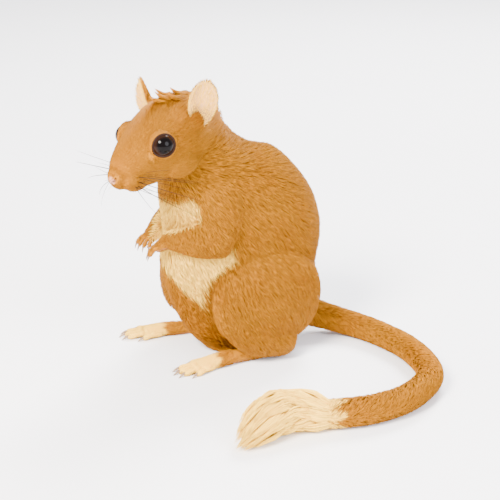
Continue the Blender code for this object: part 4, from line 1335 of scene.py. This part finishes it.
def crown_tuft(tree, chance):
    """A few short locks that stand up from the crown and lean forward, with hair between them."""
    paths, ups, places = [], [], []
    lift = toward_head(0, -0.1, 1)
    for k, (out, forward, length) in enumerate(CROWN_LOCKS):
        top = tree.ray_cast(on_head(out, forward, 40), toward_head(0, 0, -1))[0]
        ahead = toward_head(out * 0.08, 0.94, 0.30)
        centres = []
        for share in np.linspace(0, 1, 7):
            rise = CROWN_RISE * share**2 - 0.05
            centres.append(top + ahead * length * (share - CROWN_BACK) + lift * length * rise)
        side, up = np.array(toward_head(1, 0, 0)), np.array(lift)
        shape = (len(centres), 3)
        sides, outs = np.broadcast_to(side, shape), np.broadcast_to(up, shape)
        size = (*CROWN_LOCK, CROWN_SHAPE, CROWN_HAIRS)
        hairs = lock_hairs(np.array(centres), sides, outs, *size, chance)
        paths.append(hairs)
        ups.append(np.broadcast_to(up, hairs.shape))
        places += [((k + 0.5) / len(CROWN_LOCKS), 0.5)] * CROWN_HAIRS
    paths, ups, places = np.concatenate(paths), np.concatenate(ups), np.array(places)
    return long_hairs("coat_crown_tuft", paths, ups, places, CROWN_HAIR, 0.0, chance)


def whiskers(tree, chance):
    """Three long whiskers a side and finer ones round them, rooted in the pads."""
    paths, widths = [], []
    rows = [(*row, 1.0) for row in LONG_WHISKERS]
    for _ in range(FINE_WHISKERS):
        out, forward, up, aim_out, aim_forward, aim_up, length, droop = LONG_WHISKERS[chance.integers(0, 3)]
        spot = (out, forward + chance.uniform(-2.5, 1.2), up + chance.uniform(-1.4, 1.6))
        change = chance.uniform((-0.3, -0.35, -0.35), (0.2, 0.35, 0.35))
        aim = np.array((aim_out, aim_forward, aim_up)) + change
        rows.append((*spot, *aim, length * chance.uniform(0.45, 0.85), droop * 0.8, 0.6))
    shares = np.linspace(0, 1, WHISKER_POINTS)
    for side, sign in SIGNS.items():
        for out, forward, up, aim_out, aim_forward, aim_up, length, droop, thick in rows:
            start = on_head(sign * out * 3, forward, up)
            inward = toward_head(-sign, 0, 0)
            root = tree.ray_cast(start, inward)[0] + inward * 0.4
            aim = toward_head(sign * aim_out, aim_forward, aim_up + WHISKER_LIFT[side])
            back = toward_head(0, -0.8, -0.6)
            paths.append([root + aim * length * share + back * droop * length * share**2 for share in shares])
            widths.append(WHISKER_WIDTH * thick * (1 - WHISKER_TAPER * shares))
    paths, widths = np.array(paths), np.array(widths)
    ups = np.broadcast_to(np.array(toward_head(0, 0, 1)), paths.shape)
    count = len(paths)
    places = np.column_stack([(np.arange(count) % 8 + 0.5) / 8, (np.arange(count) // 8 + 0.5) / 8])
    return hair_mesh("whiskers", paths, ups, widths, np.zeros(count), np.ones(count), places)


def make_eye(side):
    """A ball with a slightly fuller front, where the clear cornea is."""
    centre, axis = eye_of(side)
    mesh = bmesh.new()
    bmesh.ops.create_uvsphere(mesh, u_segments=64, v_segments=48, radius=EYE_RADIUS)
    for vertex in mesh.verts:
        tilt = math.acos(max(-1.0, min(1.0, vertex.co.z / EYE_RADIUS)))
        vertex.co *= 1 + CORNEA * math.exp(-((tilt / CORNEA_SPREAD) ** 2))
    tilts = [vertex.co.normalized().z for vertex in mesh.verts]
    place = Matrix.Translation(centre) @ axis.to_track_quat("Z", "Y").to_matrix().to_4x4()
    bmesh.ops.transform(mesh, matrix=TO_FRAME @ place, verts=mesh.verts)
    eye = to_object(f"eye_ball_{side}", mesh)
    eye.data.shade_smooth()
    put_values(eye.data, "facing", np.array(tilts))
    return eye


def make_claws():
    meshes = []
    for side in SIGNS:
        for limb, (length, radius, down) in (("forepaw", FINGER_CLAW), ("hind_foot", TOE_CLAW)):
            for _, root, heading in digits(limb):
                rows = claw_rows(root, heading, length, radius, down)
                meshes.append(rod(rows, limb_space(side, limb), around=12, steps=3, ends=False))
    whole = joined(meshes)
    bmesh.ops.recalc_face_normals(whole, faces=whole.faces)
    claws = to_object("claws", whole)
    put_points(claws.data, held_up(points_of(claws.data), 0))
    claws.data.transform(TO_FRAME)
    claws.data.shade_smooth()
    return claws


# Materials


def linear(hex_colour):
    """A sRGB hex colour as the linear one that a shader takes."""
    channels = [int(hex_colour[k : k + 2], 16) / 255 for k in (1, 3, 5)]
    return (*(c / 12.92 if c <= 0.04045 else ((c + 0.055) / 1.055) ** 2.4 for c in channels), 1.0)


def new_material(name):
    material = bpy.data.materials.new(name)
    material.use_nodes = True
    return material, material.node_tree, material.node_tree.nodes["Principled BSDF"]


def add(tree, kind, settings=None, values=None, links=None):
    """One node, with its settings, the values of its sockets and the sockets that feed it."""
    node = tree.nodes.new(kind)
    for name, setting in (settings or {}).items():
        setattr(node, name, setting)
    for name, value in (values or {}).items():
        node.inputs[name].default_value = value
    for name, source in (links or {}).items():
        tree.links.new(source, node.inputs[name])
    return node


def mixed(tree, factor, first, second, blend="MIX"):
    """A colour between two, each a hex colour or a socket. The factor is a socket or a number."""
    node = tree.nodes.new("ShaderNodeMix")
    node.data_type = "RGBA"
    node.blend_type = blend
    for socket, given in ((0, factor), (6, first), (7, second)):
        if isinstance(given, str):
            node.inputs[socket].default_value = linear(given)
        elif isinstance(given, (int, float)):
            node.inputs[socket].default_value = given
        else:
            tree.links.new(given, node.inputs[socket])
    return node.outputs[2]


def value_of(tree, name):
    return add(tree, "ShaderNodeAttribute", {"attribute_name": name}).outputs["Fac"]


def noise(tree, size, detail=3.0):
    """Noise whose blotches are about this many millimetres across."""
    place = add(tree, "ShaderNodeTexCoord").outputs["Object"]
    values = {"Scale": 1 / (size * MM), "Detail": detail, "Roughness": 0.55}
    return add(tree, "ShaderNodeTexNoise", values=values, links={"Vector": place}).outputs["Fac"]


def coat_colour(tree, tip):
    """Golden or cream hair, darker at the root than the tip, a little mottled over the body."""
    golden = mixed(tree, tip, GOLDEN_ROOT, GOLDEN_TIP)
    golden = mixed(tree, noise(tree, 14), golden, mixed(tree, 1.0, golden, GOLDEN_SHADE, "MULTIPLY"))
    cream = mixed(tree, tip, CREAM_ROOT, CREAM_TIP)
    return mixed(tree, value_of(tree, "cream"), golden, cream)


def hair_material():
    """Short dry fur: each hair scatters light widely, with only a faint gloss along it."""
    material, tree, shader = new_material("gerbil_hair")
    colour = coat_colour(tree, value_of(tree, "tip"))
    colour = mixed(tree, 1.0, colour, value_of(tree, "tone"), "MULTIPLY")
    tree.links.new(colour, shader.inputs["Base Color"])
    shader.inputs["Roughness"].default_value = 0.6
    shader.inputs["Specular IOR Level"].default_value = 0.08
    return material


def skin_material():
    """Skin under the coat, in the coat's own colours, with a fine downy grain. Where it is bare it is
    a dull brownish pink. Round the eyes the lid rims are dark skin, and painted shade darkens the nostrils,
    the mouth line, the cleft and the foot of each ear's cup."""
    material, tree, shader = new_material("downy_skin")
    colour = coat_colour(tree, noise(tree, 0.7))
    pink = mixed(tree, noise(tree, 1.2), BARE_PINK, BARE_BROWN)
    colour = mixed(tree, value_of(tree, "bare"), colour, pink)
    # Dark lid rims, with painted shade in the mouth line, the cleft, the nostrils and the foot of each ear's
    # cup
    colour = mixed(tree, value_of(tree, "dark"), colour, RIM_AND_SHADE_BROWN)
    tree.links.new(colour, shader.inputs["Base Color"])
    shader.inputs["Roughness"].default_value = 0.62
    shader.inputs["Specular IOR Level"].default_value = 0.08
    down = add(
        tree,
        "ShaderNodeBump",
        values={"Strength": 0.4, "Distance": 0.12 * MM},
        links={"Height": noise(tree, 0.35, 4.0)},
    )
    tree.links.new(down.outputs["Normal"], shader.inputs["Normal"])
    return material


def eye_material():
    """A wet dark brown eye: nearly black, with a deep brown iris round the pupil and a sharp gloss."""
    material, tree, shader = new_material("wet_eye")
    ring = add(
        tree,
        "ShaderNodeMapRange",
        {"interpolation_type": "SMOOTHSTEP"},
        {"From Min": 0.62, "From Max": 0.86},
        {"Value": value_of(tree, "facing")},
    ).outputs["Result"]
    streaks = mixed(tree, noise(tree, 0.5), EYE_BROWN, EYE_DARK)
    tree.links.new(mixed(tree, ring, streaks, EYE_PUPIL), shader.inputs["Base Color"])
    shader.inputs["Roughness"].default_value = 0.05
    shader.inputs["IOR"].default_value = 1.38
    shader.inputs["Specular IOR Level"].default_value = 0.12
    return material


def claw_material():
    """Horn: hard and smooth, mottled from brown to a paler tan, with a dull shine along its curve."""
    material, tree, shader = new_material("horn_claw")
    tree.links.new(mixed(tree, noise(tree, 0.8), CLAW_BROWN, CLAW_PALE), shader.inputs["Base Color"])
    shader.inputs["Roughness"].default_value = 0.4
    shader.inputs["IOR"].default_value = 1.54
    shader.inputs["Specular IOR Level"].default_value = 0.2
    return material


def whisker_material():
    """Whiskers: stiff smooth hairs, dark at the root and paler to the tip."""
    material, tree, shader = new_material("whisker_hair")
    tree.links.new(mixed(tree, value_of(tree, "tip"), WHISKER_DARK, WHISKER_TIP), shader.inputs["Base Color"])
    shader.inputs["Roughness"].default_value = 0.5
    shader.inputs["Specular IOR Level"].default_value = 0.1
    return material


def floor_material():
    """Matt off-white board with a faint unevenness in its colour."""
    material, tree, shader = new_material("pale_board")
    tree.links.new(mixed(tree, noise(tree, 90), FLOOR_LIGHT, FLOOR_SHADE), shader.inputs["Base Color"])
    shader.inputs["Roughness"].default_value = 0.7
    return material


# The stage


def area_light(name, place, target, size, power, colour):
    lamp = bpy.data.lights.new(name, "AREA")
    lamp.shape = "DISK"
    lamp.size = size
    lamp.energy = power
    lamp.color = linear(colour)[:3]
    light = bpy.data.objects.new(name, lamp)
    light.location = place
    light.rotation_euler = (Vector(place) - Vector(target)).to_track_quat("Z", "Y").to_euler()
    bpy.context.scene.collection.objects.link(light)


def make_stage():
    mesh = bmesh.new()
    bmesh.ops.create_grid(mesh, x_segments=8, y_segments=8, size=FLOOR_HALF)
    floor = to_object("floor", mesh)
    floor.data.materials.append(floor_material())
    world = bpy.data.worlds.new("studio")
    world.use_nodes = True
    world.node_tree.nodes["Background"].inputs["Color"].default_value = linear(SKY)
    world.node_tree.nodes["Background"].inputs["Strength"].default_value = SKY_STRENGTH
    bpy.context.scene.world = world
    target = TO_FRAME @ Vector(CAMERA_TARGET)
    for name, place, size, power, colour in LIGHTS:
        area_light(name, target + Vector(place), target, size, power, colour)
    camera_data = bpy.data.cameras.new("camera")
    camera_data.lens = CAMERA_LENS
    camera_data.sensor_width = CAMERA_SENSOR
    camera_data.clip_start = 0.01
    camera = bpy.data.objects.new("camera", camera_data)
    azimuth, rise = (math.radians(angle) for angle in CAMERA_ANGLES)
    back = Vector((math.sin(azimuth) * math.cos(rise), -math.cos(azimuth) * math.cos(rise), math.sin(rise)))
    camera.location = target + back * CAMERA_DISTANCE * MM
    camera.rotation_euler = back.to_track_quat("Z", "Y").to_euler()
    bpy.context.scene.collection.objects.link(camera)
    bpy.context.scene.camera = camera


def skin_over_all(ears, chance):
    """The finished skin with its ears, and the coat over it."""
    skin, lines = make_body_skin()
    points, normals, ends = points_of(skin.data), normals_of(skin.data), edges_of(skin.data)
    triangles = triangles_of(skin.data)
    owner, share, angle, coat = survey(points)
    flow = coat_flow(points, normals, ends)
    density = 1 / (coat[1] * coat[2])
    for side in SIGNS:
        reach, outside = around_eye(points, side)
        density[(reach < EYE_RADIUS + 1.5) & (outside < 4)] = 0
    for name, line in lines.items():
        density[to_line(points, line) < BARE_LINES[name.split("_")[0]]] = 0
    density[points[:, 2] < FLAT_HEIGHT] = 0
    coats = grow_body_coat(points, normals, flow, triangles, density, coat, chance)
    tree = BVHTree.FromPolygons(points.tolist(), triangles.tolist())
    coats.append(crown_tuft(tree, chance))
    hairs = whiskers(tree, chance)
    cream = markings(points, normals, owner, share, angle)
    bare, dark = skin_values(points, normals, lines, owner)
    whole = bmesh.new()
    whole.from_mesh(skin.data)
    for side, ear in ears.items():
        coats.append(ear_coat(side, ear, chance))
        inside, height = inside_ear(side, ear)
        # Painted shade deep in the foot of each ear's cup, darkening the skin there
        canal_shade = inside * (1 - smooth_step(height, 1.0, 4.5))
        cream = np.concatenate([cream, inside])
        bare = np.concatenate([bare, 0.7 * inside])
        dark = np.concatenate([dark, 0.5 * canal_shade])
        whole.from_mesh(ear.data)
        bpy.data.objects.remove(ear)
    bmesh.ops.transform(whole, matrix=TO_FRAME, verts=whole.verts)
    whole.to_mesh(skin.data)
    whole.free()
    for name, values in (("cream", cream), ("bare", bare), ("dark", dark)):
        put_values(skin.data, name, values)
    skin.data.shade_smooth()
    return skin, coats, hairs


parts = body_parts()
chance = np.random.default_rng(SEED)
skin, coats, whisker_piece = skin_over_all({side: make_ear(side) for side in SIGNS}, chance)
coats.append(brush(chance))
eyes = {side: make_eye(side) for side in SIGNS}
claws = make_claws()

fur = hair_material()
finishes = [(skin, skin_material(), "golden_fur"), (claws, claw_material(), "golden_fur")]
finishes.append((whisker_piece, whisker_material(), "golden_fur"))
slots = {"coat_tail_brush": "cream_fur", "coat_ear_left": "ear_skin", "coat_ear_right": "ear_skin"}
finishes += [(coat, fur, slots.get(coat.name, "golden_fur")) for coat in coats]
wet = eye_material()
finishes += [(eye, wet, "eye") for eye in eyes.values()]
for piece, material, slot in finishes:
    piece.data.materials.clear()
    piece.data.materials.append(material)
    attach(piece, "root")
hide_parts(*(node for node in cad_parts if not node.startswith("eye")))
for side, eye in eyes.items():
    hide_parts(f"eye_{side}")
make_stage()
